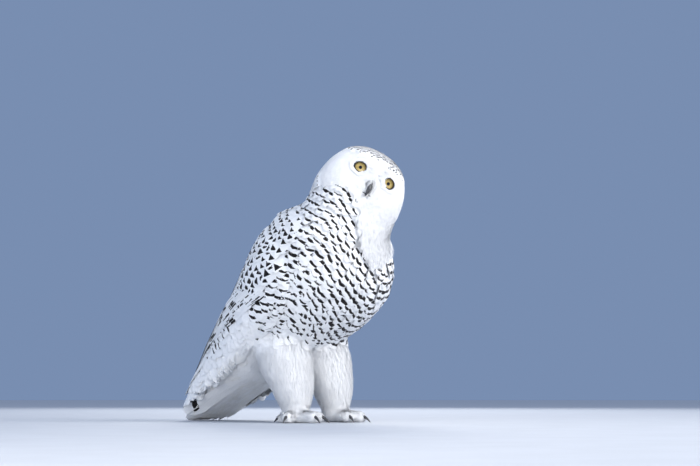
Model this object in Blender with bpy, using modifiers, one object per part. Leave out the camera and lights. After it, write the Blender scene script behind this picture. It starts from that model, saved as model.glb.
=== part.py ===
"""A life-size snowy owl, standing still with its head turned to its right, as closed solids.

Units are metres and +Z is up. The owl faces -Y, so its right side is at -X, and the floor is at z = 0.
Trunk, neck and tail are one lofted body parted by thin cuts, and the folded wings are let into its sides.
"""
import math

import bmesh
import bpy
import numpy as np
from mathutils import Matrix, Vector

# ---------------------------------------------------------------- driving dimensions
CUT = 0.0003            # the gap that parts one piece from the next
SIDES = (("right", -1), ("left", 1))
RING_POINTS = 32        # points round the trunk, neck and tail
HEAD_POINTS = 40        # points round the head, which carries finer relief

# The body's sections from collar to tail tip: y, z, half width, depth to the belly, depth to the back.
BODY_SECTIONS = (
    (-0.047, 0.285, 0.093, 0.083, 0.101),   # collar
    (-0.027, 0.252, 0.106, 0.089, 0.104),   # shoulders
    (0.002, 0.216, 0.110, 0.086, 0.100),    # breast
    (0.038, 0.181, 0.106, 0.071, 0.097),    # belly
    (0.078, 0.149, 0.096, 0.054, 0.092),    # flanks
    (0.116, 0.119, 0.083, 0.050, 0.081),    # vent
    (0.155, 0.088, 0.068, 0.033, 0.065),    # tail root
    (0.200, 0.055, 0.055, 0.019, 0.044),    # tail, under the coverts
    (0.250, 0.022, 0.052, 0.010, 0.022),    # tail blade
    (0.279, 0.0066, 0.047, 0.0074, 0.009),  # tail blade's end, resting on the floor
    (0.292, 0.0035, 0.034, 0.0045, 0.004),
    (0.300, 0.0025, 0.013, 0.0030, 0.002),  # tail tip
)
TAIL_STARTS = 0.58      # where the tail is parted from the trunk, as a share of the body's length
CROWDING = 0.07
SECTION_POWER = 2.15    # 2 is an ellipse, more is squarer
CHEST_TWIST = math.radians(-13)         # the chest turns towards the owl's right, with the head
TWIST_FROM, TWIST_TO = 0.11, 0.29       # the heights between which it turns

# The head leans forward and to the left, and its face is turned to the right and a little down.
HEAD_CENTRE = Vector((0.0045, -0.0888, 0.3620))
HEAD_UP = Vector((0.407, -0.278, 0.905)).normalized()
FACE_YAW, FACE_DROP = math.radians(34.0), 0.115

# The head's sections from throat to crown: height, half width, depth to the face, depth to the nape.
HEAD_SECTIONS = (
    (-0.054, 0.0650, 0.0545, 0.0680),
    (-0.038, 0.0680, 0.0560, 0.0665),
    (-0.018, 0.0685, 0.0560, 0.0620),
    (0.004, 0.0650, 0.0550, 0.0570),
    (0.024, 0.0570, 0.0510, 0.0490),
    (0.039, 0.0450, 0.0420, 0.0390),
    (0.0475, 0.0310, 0.0300, 0.0270),
    (0.0525, 0.0120, 0.0115, 0.0110),
)
HEAD_POWER = 2.25

EYE_RADIUS = 0.0145
EYE_SIDE, EYE_HEIGHT, EYE_FRONT = 0.0228, 0.0103, 0.0345     # of the eyeball's centre
EYE_SPLAY = math.radians(20)                                 # each eye looks this far outwards

BILL_ROOT_WIDTH, BILL_ROOT_DEPTH = 0.0058, 0.0066            # half sizes
WING_ROWS, WING_COLUMNS = 19, 7
LEG_SIDE, FOOT_Y = 0.043, 0.012
TOE_HEIGHT = 0.0076
FOOT_HEIGHT = 0.0182     # where the foot is parted from the leg
# Each toe's direction from straight ahead (outwards is positive), its length to the claw and its radius.
TOES = (("inner", -16, 0.046, 0.0108), ("middle", 10, 0.053, 0.0112),
        ("outer", 62, 0.044, 0.0104), ("hind", 172, 0.029, 0.0094))
CLAW_LENGTH, CLAW_RADIUS = 0.022, 0.0031

# ---------------------------------------------------------------- start empty
for old in list(bpy.data.objects):
    bpy.data.objects.remove(old)

owl = bpy.data.collections.new("snowy_owl")
cutters = bpy.data.collections.new("cutters")
cutters.hide_render = True
for group in (owl, cutters):
    bpy.context.scene.collection.children.link(group)

stance = bpy.data.objects.new("stance", None)
owl.objects.link(stance)


# ---------------------------------------------------------------- materials
def finish(name, colour, roughness, metallic=0.0):
    """A Principled BSDF material."""
    material = bpy.data.materials.new(name)
    material.use_nodes = True
    shader = material.node_tree.nodes["Principled BSDF"]
    shader.inputs["Base Color"].default_value = (*colour, 1)
    shader.inputs["Roughness"].default_value = roughness
    shader.inputs["Metallic"].default_value = metallic
    return material


WHITE_DOWN = finish("white_down", (0.86, 0.87, 0.90), 0.85)
BARRED_COAT = finish("barred_coat", (0.62, 0.63, 0.67), 0.85)
YELLOW_EYE = finish("yellow_eye", (0.62, 0.47, 0.12), 0.10)
BLACK_HORN = finish("black_horn", (0.025, 0.025, 0.03), 0.35)


# ---------------------------------------------------------------- lofted shapes
def smooth_rows(table, count):
    """The table's rows as count rows along a smooth curve through them, somewhat closer towards the end."""
    rows = np.array(table, float)
    at = np.concatenate([[0], np.cumsum(np.linalg.norm(np.diff(rows[:, :2], axis=0), axis=1))])
    slope = np.gradient(rows, at, axis=0)
    even = np.linspace(0, 1, count)
    where = at[-1] * (even + CROWDING * np.sin(np.pi * even))
    low = np.clip(np.searchsorted(at, where, "right") - 1, 0, len(at) - 2)
    span = (at[low + 1] - at[low])[:, None]
    t = ((where - at[low])[:, None]) / span
    return ((2 * t**3 - 3 * t**2 + 1) * rows[low] + (t**3 - 2 * t**2 + t) * span * slope[low]
            + (3 * t**2 - 2 * t**3) * rows[low + 1] + (t**3 - t**2) * span * slope[low + 1])


def oval(angle, width, below, above, power):
    """A point round a section: sideways, and up from its middle. Angle 0 is the owl's left."""
    across, up = math.cos(angle), math.sin(angle)
    depth = above if up > 0 else below
    return (width * math.copysign(abs(across) ** (2 / power), across),
            depth * math.copysign(abs(up) ** (2 / power), up))


def twisted(point):
    """Turns the chest about the upright axis through the legs, more the higher the point."""
    share = min(max((point.z - TWIST_FROM) / (TWIST_TO - TWIST_FROM), 0), 1)
    return Matrix.Rotation(CHEST_TWIST * share * share * (3 - 2 * share), 3, "Z") @ point


def body_frame(rows, i):
    """The middle of section i, and the direction from its belly to its back."""
    before, after = rows[max(i - 1, 0)], rows[min(i + 1, len(rows) - 1)]
    along = Vector((0, after[0] - before[0], after[1] - before[1])).normalized()
    return Vector((0, rows[i][0], rows[i][1])), Vector((0, -along.z, along.y))


def body_ring(rows, i, grow=0.0):
    middle, back = body_frame(rows, i)
    width, below, above = (size + grow for size in rows[i][2:5])
    ring = []
    for k in range(RING_POINTS):
        x, up = oval(2 * math.pi * k / RING_POINTS, width, below, above, SECTION_POWER)
        point = middle + Vector((x, 0, 0)) + back * up
        point.z = max(point.z, 0.0)          # what lies on the floor lies flat
        ring.append(twisted(point))
    return ring


def head_frame():
    """The head's right, its face's direction and its up, at right angles to each other."""
    face = Vector((-math.sin(FACE_YAW), -math.cos(FACE_YAW), -FACE_DROP))
    face = (face - HEAD_UP * face.dot(HEAD_UP)).normalized()
    return face.cross(HEAD_UP).normalized(), face, HEAD_UP


HEAD_RIGHT, HEAD_FACE, _ = head_frame()


def in_head(right, face, up):
    """A place given in the head's own directions, in the owl's frame."""
    return HEAD_CENTRE + HEAD_RIGHT * right + HEAD_FACE * face + HEAD_UP * up


def face_relief(right, face, up):
    """How far the face stands out (in metres) at this place: discs sunk round the eyes, a raised muzzle."""
    if face < 0:
        return 0.0
    relief = 0.0
    for side in (-1, 1):
        far = ((right - side * EYE_SIDE * 1.08) ** 2 + (up - EYE_HEIGHT + 0.004) ** 2) ** 0.5
        relief -= 0.0050 * math.exp(-((far / 0.0190) ** 2))
    relief += 0.0035 * math.exp(-((right / 0.0120) ** 2) - ((up + 0.015) / 0.0170) ** 2)
    relief += 0.0030 * math.exp(-((right / 0.0080) ** 2) - ((up - 0.014) / 0.0150) ** 2)
    relief += 0.0022 * math.exp(-(((abs(right) - 0.024) / 0.016) ** 2) - ((up - 0.031) / 0.0065) ** 2)
    return relief


def head_ring(row):
    height, width, face_depth, nape_depth = row
    ring = []
    for k in range(HEAD_POINTS):
        angle = 2 * math.pi * k / HEAD_POINTS
        right, back = oval(angle, width, face_depth, nape_depth, HEAD_POWER)
        out = Vector((right, back)).normalized() * face_relief(-right, -back, height)
        ring.append(in_head(-(right + out.x), -(back + out.y), height))
    return ring


def solid(name, stacks, material, group=None):
    """Skins each stack of closed rings, first to last, with a fan at each end, all in one mesh."""
    mesh = bpy.data.meshes.new(name)
    shape = bmesh.new()
    for rings in stacks:
        made = [[shape.verts.new(point) for point in ring] for ring in rings]
        for lower, upper in zip(made, made[1:]):
            for k in range(len(lower)):
                after = (k + 1) % len(lower)
                shape.faces.new((lower[k], lower[after], upper[after], upper[k]))
        for ring in (made[0], made[-1]):
            middle = shape.verts.new(sum((v.co for v in ring), Vector()) / len(ring))
            for k in range(len(ring)):
                shape.faces.new((ring[k], ring[(k + 1) % len(ring)], middle))
    bmesh.ops.recalc_face_normals(shape, faces=shape.faces)
    bmesh.ops.triangulate(shape, faces=shape.faces)
    shape.to_mesh(mesh)
    shape.free()
    mesh.shade_smooth()
    return placed(bpy.data.objects.new(name, mesh), material, group)


def placed(obj, material, group=None):
    obj.data.materials.clear()
    obj.data.materials.append(material)
    (group or owl).objects.link(obj)
    obj.parent = stance
    if group is cutters:
        obj.hide_render = True
        obj.display_type = "WIRE"
    return obj


def grown(obj, by=CUT * 1.4):
    """A copy that is larger all round, to cut obj's place out of a neighbour with a thin gap."""
    copy = bpy.data.objects.new(obj.name + "_room", obj.data.copy())
    shape = bmesh.new()
    shape.from_mesh(copy.data)
    shape.normal_update()
    moves = [v.normal * by for v in shape.verts]
    for v, move in zip(shape.verts, moves):
        v.co += move
    shape.to_mesh(copy.data)
    shape.free()
    copy.matrix_basis = obj.matrix_basis
    return placed(copy, obj.data.materials[0], cutters)


def cut(obj, cutter, operation="DIFFERENCE"):
    boolean = obj.modifiers.new(cutter.name, "BOOLEAN")
    boolean.operation = operation
    boolean.object = cutter


# ---------------------------------------------------------------- trunk and tail
BODY_ROWS = smooth_rows(BODY_SECTIONS, 31)
tail_row = round(TAIL_STARTS * (len(BODY_ROWS) - 1))


def between(first, second, share):
    return [a.lerp(b, share) for a, b in zip(first, second)]


body_rings = [body_ring(BODY_ROWS, i) for i in range(len(BODY_ROWS))]
tail_root = body_rings[tail_row]
parting = CUT / (tail_root[0] - body_rings[tail_row + 1][0]).length
trunk = solid("trunk", [body_rings[:tail_row + 1]], BARRED_COAT)
tail_rings = [between(tail_root, body_rings[tail_row + 1], parting)] + body_rings[tail_row + 1:]
tail = solid("tail", [tail_rings], WHITE_DOWN)

# ---------------------------------------------------------------- head and neck
head_rings = [head_ring(row) for row in smooth_rows(HEAD_SECTIONS, 19)]
head = solid("head", [head_rings], WHITE_DOWN)


NECK_FULLNESS = 1.1      # how far the neck carries on in the collar's direction before it bends to the head


def neck_rings(count=6):
    """Rings that run smoothly from the collar up into the head, a thin cut short of each."""
    turn = round(FACE_YAW * 0.75 / (2 * math.pi) * RING_POINTS)
    low, low_next = body_rings[0], body_rings[1]
    step = HEAD_POINTS / RING_POINTS

    def matched(ring):
        around = [ring[int(k * step) % HEAD_POINTS] for k in range(RING_POINTS)]
        return around[turn:] + around[:turn]

    high, high_next = matched(head_rings[0]), matched(head_rings[1])
    rings = []
    for share in np.linspace(0.02, 0.98, count):
        ring = []
        for a, a_next, b, b_next in zip(low, low_next, high, high_next):
            reach = (b - a).length * NECK_FULLNESS
            leaving = (a - a_next).normalized() * reach
            arriving = (b_next - b).normalized() * reach
            t = float(share)
            ring.append(a * (2 * t**3 - 3 * t**2 + 1) + leaving * (t**3 - 2 * t**2 + t)
                        + b * (3 * t**2 - 2 * t**3) + arriving * (t**3 - t**2))
        rings.append(ring)
    return rings


neck = solid("neck", [neck_rings()], WHITE_DOWN)


# ---------------------------------------------------------------- eyes and bill
def eye(name, side):
    bpy.ops.mesh.primitive_uv_sphere_add(segments=16, ring_count=9, radius=EYE_RADIUS)
    ball = bpy.context.object
    for collection in list(ball.users_collection):
        collection.objects.unlink(ball)
    ball.name = ball.data.name = name
    looking = (HEAD_FACE * math.cos(EYE_SPLAY) + HEAD_RIGHT * side * math.sin(EYE_SPLAY)).normalized()
    ball.matrix_basis = (Matrix.Translation(in_head(side * EYE_SIDE, EYE_FRONT, EYE_HEIGHT))
                         @ looking.to_track_quat("Z", "Y").to_matrix().to_4x4())
    ball.data.shade_smooth()
    placed(ball, YELLOW_EYE)
    cut(head, grown(ball))
    return ball


eye("eye_right", 1)
eye("eye_left", -1)


def bill_part(name, points, width, depth, rows=9):
    """A tapered, curved horn: points are (face, up) from its root to its tip."""
    line = smooth_rows(points, rows)
    rings = []
    for i, (face, up) in enumerate(line):
        share = i / (rows - 1)
        before, after = line[max(i - 1, 0)], line[min(i + 1, rows - 1)]
        along = Vector((after[0] - before[0], after[1] - before[1])).normalized()
        taper = (1 - share) ** 0.65 * 0.93 + 0.07
        ring = []
        for k in range(12):
            right, out = oval(2 * math.pi * k / 12, width * taper, depth * taper, depth * taper, 1.9)
            ring.append(in_head(right, face - along.y * out, up + along.x * out))
        rings.append(ring)
    return solid(name, [rings], BLACK_HORN)


upper_bill = bill_part("bill_upper", ((0.041, -0.0060), (0.0535, -0.0075), (0.0600, -0.0150), (0.0580, -0.0268)),
                       BILL_ROOT_WIDTH, BILL_ROOT_DEPTH)
lower_bill = bill_part("bill_lower", ((0.044, -0.0210), (0.0525, -0.0222), (0.0566, -0.0236)),
                       BILL_ROOT_WIDTH * 0.75, BILL_ROOT_DEPTH * 0.40, 6)
cut(lower_bill, grown(upper_bill))
cut(head, grown(upper_bill))
cut(head, grown(lower_bill))


# ---------------------------------------------------------------- wings
WING_THICKNESS = 0.0075
# Along the folded wing from shoulder to tip: the body's share, its lower edge and upper edge in degrees
# round the right side (180 is straight out), how far it lies out from the body, and its thickness's share.
WING_SECTIONS = (
    (0.035, 182, 140, 0.0010, 0.50),
    (0.090, 203, 128, 0.0015, 0.90),
    (0.200, 213, 118, 0.0020, 1.15),
    (0.340, 213, 110, 0.0030, 1.10),
    (0.480, 206, 100, 0.0075, 0.95),
    (0.620, 197, 95, 0.0140, 0.80),
    (0.760, 188, 95, 0.0160, 0.65),
    (0.880, 174, 99, 0.0110, 0.45),
    (0.940, 152, 112, 0.0075, 0.30),
)


def wing_point(share, degrees, outwards, side):
    """A place on the body's side, this far out from it. Side is -1 for the right wing and 1 for the left."""
    place = share * (len(BODY_ROWS) - 1)
    i = min(int(place), len(BODY_ROWS) - 2)
    row = BODY_ROWS[i] + (BODY_ROWS[i + 1] - BODY_ROWS[i]) * (place - i)
    middle, back = body_frame(BODY_ROWS, i)
    middle = middle.lerp(body_frame(BODY_ROWS, i + 1)[0], place - i)
    back = back.lerp(body_frame(BODY_ROWS, i + 1)[1], place - i).normalized()
    x, up = oval(math.radians(degrees), row[2] + outwards, row[3] + outwards, row[4] + outwards, SECTION_POWER)
    return twisted(middle + Vector((-side * x, 0, 0)) + back * up)


def wing(name, side):
    rings = []
    for share, lower, upper, lift, thick in smooth_wing_rows(WING_ROWS):
        outer, inner = [], []
        for k in range(WING_COLUMNS + 1):
            across = k / WING_COLUMNS
            degrees = lower + (upper - lower) * across
            crown = max(1 - (2 * across - 1) ** 2, 0.0) ** 0.5
            body = WING_THICKNESS * thick * (0.35 + 0.65 * crown)
            outer.append(wing_point(share, degrees, lift + body, side))
            inner.append(wing_point(share, degrees, lift - body * 0.45, side))
        rings.append(outer + inner[::-1])
    return solid(name, [rings], BARRED_COAT)


def smooth_wing_rows(count):
    rows = np.array(WING_SECTIONS, float)
    where = np.linspace(rows[0, 0], rows[-1, 0], count)
    slope = np.gradient(rows, rows[:, 0], axis=0)
    low = np.clip(np.searchsorted(rows[:, 0], where, "right") - 1, 0, len(rows) - 2)
    span = (rows[low + 1, 0] - rows[low, 0])[:, None]
    t = (where - rows[low, 0])[:, None] / span
    return ((2 * t**3 - 3 * t**2 + 1) * rows[low] + (t**3 - 2 * t**2 + t) * span * slope[low]
            + (3 * t**2 - 2 * t**3) * rows[low + 1] + (t**3 - t**2) * span * slope[low + 1])


wing_room = {word: grown(wing("wing_" + word, side), CUT * 2.5) for word, side in SIDES}
for neighbour in (trunk, tail, neck):
    for word, _ in SIDES:
        cut(neighbour, wing_room[word])


# ---------------------------------------------------------------- legs, feet and claws
def disc(centre, across, up, radius, count, power=2.0, squash=1.0):
    """A ring about centre, in the plane of across and up."""
    ring = []
    for k in range(count):
        a, b = oval(2 * math.pi * k / count, radius, radius * squash, radius * squash, power)
        ring.append(centre + across * a + up * b)
    return ring


def leg(name, side):
    """The feathered thigh and shank, from inside the belly down to the ankle."""
    x = side * LEG_SIDE
    rows = (((x, 0.044, 0.130), 0.043), ((x, 0.038, 0.102), 0.043), ((x, 0.029, 0.074), 0.039),
            ((x, 0.019, 0.052), 0.032), ((x, FOOT_Y + 0.002, 0.032), 0.0250),
            ((x, FOOT_Y, FOOT_HEIGHT + CUT), 0.0195))
    rings = [disc(Vector(at), Vector((1, 0, 0)), Vector((0, 1, 0)), radius, 20) for at, radius in rows]
    return solid(name, [rings], WHITE_DOWN)


def toe_direction(side, degrees):
    turn = math.radians(degrees)
    return Vector((side * math.sin(turn), -math.cos(turn), 0))


def toe(side, degrees, length, thickness):
    """A feathered toe from the middle of the foot to its claw."""
    ahead = toe_direction(side, degrees)
    across = Vector((-ahead.y, ahead.x, 0))
    rings = []
    for share in (0.0, 0.35, 0.70, 0.92, 1.0, 1.04):
        swell = 1.0 + 0.10 * math.sin(math.pi * share * 1.6)
        radius = thickness * swell * (0.55 if share > 1.0 else 0.85 if share == 1.0 else 1.0)
        centre = Vector((side * LEG_SIDE, FOOT_Y, TOE_HEIGHT)) + ahead * length * share
        rings.append(disc(centre, across, Vector((0, 0, 1)), radius, 12))
    return rings


def claw(name, side, degrees, length):
    """A black curved claw, let into the toe, with its point just off the floor."""
    ahead = toe_direction(side, degrees)
    across = Vector((-ahead.y, ahead.x, 0))
    root = Vector((side * LEG_SIDE, FOOT_Y, TOE_HEIGHT + 0.0022)) + ahead * (length - 0.004)
    rings = []
    for i in range(5):
        share = i / 4
        bend = share * math.radians(62)
        reach = CLAW_LENGTH / math.radians(62)
        centre = root + ahead * reach * math.sin(bend) - Vector((0, 0, 1)) * reach * (1 - math.cos(bend))
        normal = Vector((0, 0, 1)) * math.cos(bend) + ahead * math.sin(bend)
        radius = CLAW_RADIUS * ((1 - share) ** 0.8 * 0.86 + 0.14)
        ring = disc(centre, across, normal, radius, 8, squash=1.15)
        rings.append([Vector((p.x, p.y, max(p.z, 0.0))) for p in ring])
    return solid(name, [rings], BLACK_HORN)


bpy.ops.mesh.primitive_cube_add(size=1, location=(0, FOOT_Y, FOOT_HEIGHT / 2), scale=(0.5, 0.5, FOOT_HEIGHT))
foot_slab = bpy.context.object
foot_slab.name = "foot_slab"
for collection in list(foot_slab.users_collection):
    collection.objects.unlink(foot_slab)
placed(foot_slab, WHITE_DOWN, cutters)


def foot(word, side):
    pad = [disc(Vector((side * LEG_SIDE, FOOT_Y, z)), Vector((1, 0, 0)), Vector((0, 1, 0)), radius, 18)
           for z, radius in ((-0.004, 0.0150), (0.004, 0.0185), (0.011, 0.0200), (0.022, 0.0190))]
    body = solid("foot_" + word, [pad] + [toe(side, *sizes) for _, *sizes in TOES], WHITE_DOWN)
    merged = body.modifiers.new("one_surface", "REMESH")
    merged.mode = "VOXEL"
    merged.voxel_size = 0.0018
    lighter = body.modifiers.new("lighter", "DECIMATE")
    lighter.ratio = 0.045
    cut(body, foot_slab, "INTERSECT")
    for finger, degrees, length, _ in TOES:
        horn = claw(f"claw_{finger}_{word}", side, degrees, length)
        cut(body, grown(horn))
    return body


trunk_room = grown(trunk)
for word, side in SIDES:
    shank = leg("leg_" + word, side)
    cut(shank, trunk_room)
    cut(shank, wing_room[word])
    foot(word, side)


# ---------------------------------------------------------------- the origin, under the middle of the whole owl
def whole_box():
    bpy.context.view_layer.update()
    graph = bpy.context.evaluated_depsgraph_get()
    corners = []
    for obj in owl.objects:
        if obj.type == "MESH":
            shown = obj.evaluated_get(graph)
            corners += [shown.matrix_world @ v.co for v in shown.data.vertices]
    return [(min(c[i] for c in corners), max(c[i] for c in corners)) for i in range(3)]


(low_x, high_x), (low_y, high_y), _ = whole_box()
stance.location = (-(low_x + high_x) / 2, -(low_y + high_y) / 2, 0)
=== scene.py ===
"""The finished snowy owl: skin, feathers, eyes, bill and claws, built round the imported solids.

Units are metres and +Z is up. The owl faces -Y, and its right side is at -X.
"""
import math

import bpy
import numpy as np
from mathutils import Matrix, Vector, geometry, kdtree
from mathutils.bvhtree import BVHTree


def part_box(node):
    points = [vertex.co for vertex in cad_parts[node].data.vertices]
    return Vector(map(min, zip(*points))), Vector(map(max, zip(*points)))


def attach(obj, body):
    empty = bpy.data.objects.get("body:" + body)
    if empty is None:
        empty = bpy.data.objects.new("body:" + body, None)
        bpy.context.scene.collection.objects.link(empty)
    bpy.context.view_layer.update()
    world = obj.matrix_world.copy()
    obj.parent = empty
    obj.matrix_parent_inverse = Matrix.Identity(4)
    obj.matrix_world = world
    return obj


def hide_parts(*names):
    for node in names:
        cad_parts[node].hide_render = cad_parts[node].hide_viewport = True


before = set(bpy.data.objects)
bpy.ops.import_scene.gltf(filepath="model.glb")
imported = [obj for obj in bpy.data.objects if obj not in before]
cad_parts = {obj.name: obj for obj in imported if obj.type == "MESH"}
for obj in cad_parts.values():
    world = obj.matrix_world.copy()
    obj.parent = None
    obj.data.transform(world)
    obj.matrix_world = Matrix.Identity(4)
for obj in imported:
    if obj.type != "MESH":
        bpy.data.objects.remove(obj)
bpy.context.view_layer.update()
bpy.ops.object.select_all(action="DESELECT")

# ---------------------------------------------------------------- studio
# A pale floor that runs away under a plain blue-grey room. One large soft key light stands at the
# owl's front left, a weaker cool fill on its right, a light behind that edges the plumage, and two
# warm ones just over the floor. A soft sun adds a little light from above.
CAMERA_AZIMUTH = math.radians(-43)
CAMERA_DISTANCE = 2.2
CAMERA_HEIGHT = 0.04
AIM = Vector((0, 0, 0.2))
LENS = 70.7
SENSOR = 36
FRAME_SHIFT = (0.089, 0.091)
FLOOR_RADIUS = 14
ROOM_COLOUR = (0.19, 0.27, 0.44)
FLOOR_COLOUR = (0.46, 0.49, 0.54)


class Wire:
    """One output in a material's node tree. Arithmetic on it adds the Math nodes that do it."""

    def __init__(self, finish, socket):
        self.finish = finish
        self.socket = socket

    def math(self, operation, *values):
        return self.finish.node("ShaderNodeMath", {"operation": operation}, dict(enumerate(values)))

    def math_of(self, operation):
        """A function of this wire alone."""
        return self.math(operation, self)

    def __add__(self, other):
        return self.math("ADD", self, other)

    def __sub__(self, other):
        return self.math("SUBTRACT", self, other)

    def __rsub__(self, other):
        return self.math("SUBTRACT", other, self)

    def __mul__(self, other):
        return self.math("MULTIPLY", self, other)

    def __abs__(self):
        return self.math("ABSOLUTE", self)

    def ramp(self, low, high):
        """0 below low, 1 above high and smooth between them."""
        settings = {"interpolation_type": "SMOOTHSTEP"}
        sockets = {"Value": self, "From Min": low, "From Max": high}
        return self.finish.node("ShaderNodeMapRange", settings, sockets)


class Finish:
    """A material whose Principled shader is fed by wires and plain values."""

    def __init__(self, name, **constants):
        self.material = bpy.data.materials.new(name)
        self.material.use_nodes = True
        self.tree = self.material.node_tree
        self.shader = self.tree.nodes["Principled BSDF"]
        for socket, value in constants.items():
            self.shader.inputs[socket.replace("_", " ")].default_value = value

    def node(self, kind, settings, sockets, output=0):
        made = self.tree.nodes.new(kind)
        for setting, value in settings.items():
            setattr(made, setting, value)
        for socket, value in sockets.items():
            self.feed(made.inputs[socket], value)
        return Wire(self, made.outputs[output])

    def feed(self, socket, value):
        if isinstance(value, Wire):
            self.tree.links.new(value.socket, socket)
        else:
            socket.default_value = value

    def mix(self, share, first, second):
        """A colour between the first and the second."""
        colours = {0: share, 6: self.opaque(first), 7: self.opaque(second)}
        return self.node("ShaderNodeMix", {"data_type": "RGBA"}, colours, 2)

    def opaque(self, colour):
        return colour if isinstance(colour, Wire) else (*colour, 1)

    def attribute(self, name):
        return self.node("ShaderNodeAttribute", {"attribute_name": name}, {}, "Fac")

    def place(self):
        return self.node("ShaderNodeTexCoord", {}, {}, "Object")

    def noise(self, scale, detail=2.0, at=None):
        sockets = {"Vector": at or self.place(), "Scale": scale, "Detail": detail}
        return self.node("ShaderNodeTexNoise", {}, sockets, "Fac")

    def bump(self, height, strength, distance):
        sockets = {"Height": height, "Strength": strength, "Distance": distance}
        return self.node("ShaderNodeBump", {}, sockets)

    def show(self, **wires):
        for socket, value in wires.items():
            self.feed(self.shader.inputs[socket.replace("_", " ")], value)
        return self.material


camera = bpy.data.objects.new("camera", bpy.data.cameras.new("camera"))
bpy.context.scene.collection.objects.link(camera)
camera.location = (math.sin(CAMERA_AZIMUTH) * CAMERA_DISTANCE,
                   -math.cos(CAMERA_AZIMUTH) * CAMERA_DISTANCE,
                   CAMERA_HEIGHT)
camera.rotation_euler = (AIM - camera.location).to_track_quat("-Z", "Y").to_euler()
camera.data.lens = LENS
camera.data.sensor_width = SENSOR
camera.data.shift_x = FRAME_SHIFT[0]
camera.data.shift_y = FRAME_SHIFT[1]
bpy.context.scene.camera = camera

bpy.ops.mesh.primitive_circle_add(vertices=96, radius=FLOOR_RADIUS, fill_type="NGON")
floor = bpy.context.object
floor.name = "floor"
matt = Finish("floor_paint", Roughness=0.75)
speckle = matt.noise(14, 4)
shade = matt.mix(speckle.ramp(0.3, 0.7), FLOOR_COLOUR, tuple(c * 1.05 for c in FLOOR_COLOUR))
floor.data.materials.append(matt.show(Base_Color=shade, Normal=matt.bump(speckle, 0.05, 0.002)))

room = bpy.data.worlds.new("room")
room.use_nodes = True
room.node_tree.nodes["Background"].inputs["Color"].default_value = (*ROOM_COLOUR, 1)
room.node_tree.nodes["Background"].inputs["Strength"].default_value = 1.0
bpy.context.scene.world = room
bpy.context.scene.view_settings.view_transform = "Standard"


def softbox(name, place, size, power, colour):
    """A square light that faces the owl's middle."""
    lamp = bpy.data.lights.new(name, "AREA")
    lamp.size = size
    lamp.energy = power
    lamp.color = colour
    light = bpy.data.objects.new(name, lamp)
    bpy.context.scene.collection.objects.link(light)
    light.location = place
    light.rotation_euler = (AIM - light.location).to_track_quat("-Z", "Y").to_euler()


softbox("key", (0.55, -2.1, 1.55), 1.3, 60, (1.0, 0.97, 0.93))
softbox("fill", (-2.4, -0.5, 0.9), 1.6, 16, (0.86, 0.92, 1.0))
softbox("edge", (1.7, 1.5, 1.5), 1.0, 34, (1.0, 0.98, 0.95))
softbox("tail_bounce", (-1.5, -0.7, 0.10), 0.7, 7, (1.0, 0.93, 0.82))
softbox("low_bounce", (-0.9, -1.9, 0.10), 0.9, 9, (1.0, 0.93, 0.82))

ceiling = bpy.data.objects.new("ceiling", bpy.data.lights.new("ceiling", "SUN"))
ceiling.data.angle = math.radians(70)
ceiling.data.energy = 0.75
ceiling.rotation_euler = (math.radians(20), math.radians(-15), 0)
bpy.context.scene.collection.objects.link(ceiling)

# ---------------------------------------------------------------- the coat's outer form, and the skin
# The owl's body under its feathers: one closed skin over head, neck, trunk, wings, tail, legs and feet,
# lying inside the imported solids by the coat's depth. The outer form that the feathers follow is the
# same solids smoothed into one surface.
FLESH = ("head", "neck", "trunk", "tail", "wing_right", "wing_left",
         "leg_right", "leg_left", "foot_right", "foot_left")
EYES = ("eye_right", "eye_left")
HEAD_UPWARDS = Vector((0.407, -0.278, 0.905))
EYE_FORWARD, EYE_ABOVE = 0.0345, 0.0103      # the eyes' place from the head's middle
BODY_COAT, HEAD_COAT, FOOT_COAT = 0.0080, 0.0050, 0.0030    # the coat's depth
FACE_SHARE, FACE_FROM = 0.6, 0.02            # the face has this share of the head's coat, from here on
HEAD_SIZE, HEAD_FROM = 0.085, 0.27           # the head's reach from its middle, and its lowest height
TOE_HEIGHT, TOES_OUT = 0.019, 0.1            # how high the toes are, and how far to a side they lie
THIN_SHARE = 0.30            # of the flesh's own thickness, the most that the coat may take
FORM_VOXEL, SKIN_VOXEL = 0.0030, 0.0032
NECK_REACH = 0.140           # the neck's crease lies within this distance of the head's middle
NECK_FROM, NECK_TO, NECK_FADE = 0.024, 0.120, 0.020    # and between these distances below it
NECK_ROUNDS = 200


def centre_of(node):
    low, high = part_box(node)
    return (low + high) / 2


eye_places = {word: centre_of("eye_" + word) for word in ("right", "left")}
head_right = (eye_places["right"] - eye_places["left"]).normalized()
head_face = HEAD_UPWARDS.cross(head_right).normalized()
head_up = head_right.cross(head_face).normalized()
between_eyes = (eye_places["right"] + eye_places["left"]) / 2
head_middle = between_eyes - head_face * EYE_FORWARD - head_up * EYE_ABOVE
bill_place = centre_of("bill_upper")
HEAD_AXES = np.array([head_right, head_face, head_up])


def joined_copy(names, name):
    """Copies of these CAD nodes in one mesh, their loose triangles merged."""
    copies = []
    for node in names:
        copy = bpy.data.objects.new(name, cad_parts[node].data.copy())
        bpy.context.scene.collection.objects.link(copy)
        copies.append(copy)
    bpy.ops.object.select_all(action="DESELECT")
    for copy in copies:
        copy.select_set(True)
    bpy.context.view_layer.objects.active = copies[0]
    bpy.ops.object.join()
    joined = bpy.context.object
    joined.name = name
    bpy.ops.object.mode_set(mode="EDIT")
    bpy.ops.mesh.select_all(action="SELECT")
    bpy.ops.mesh.remove_doubles(threshold=0.000005)
    bpy.ops.object.mode_set(mode="OBJECT")
    return joined


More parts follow.
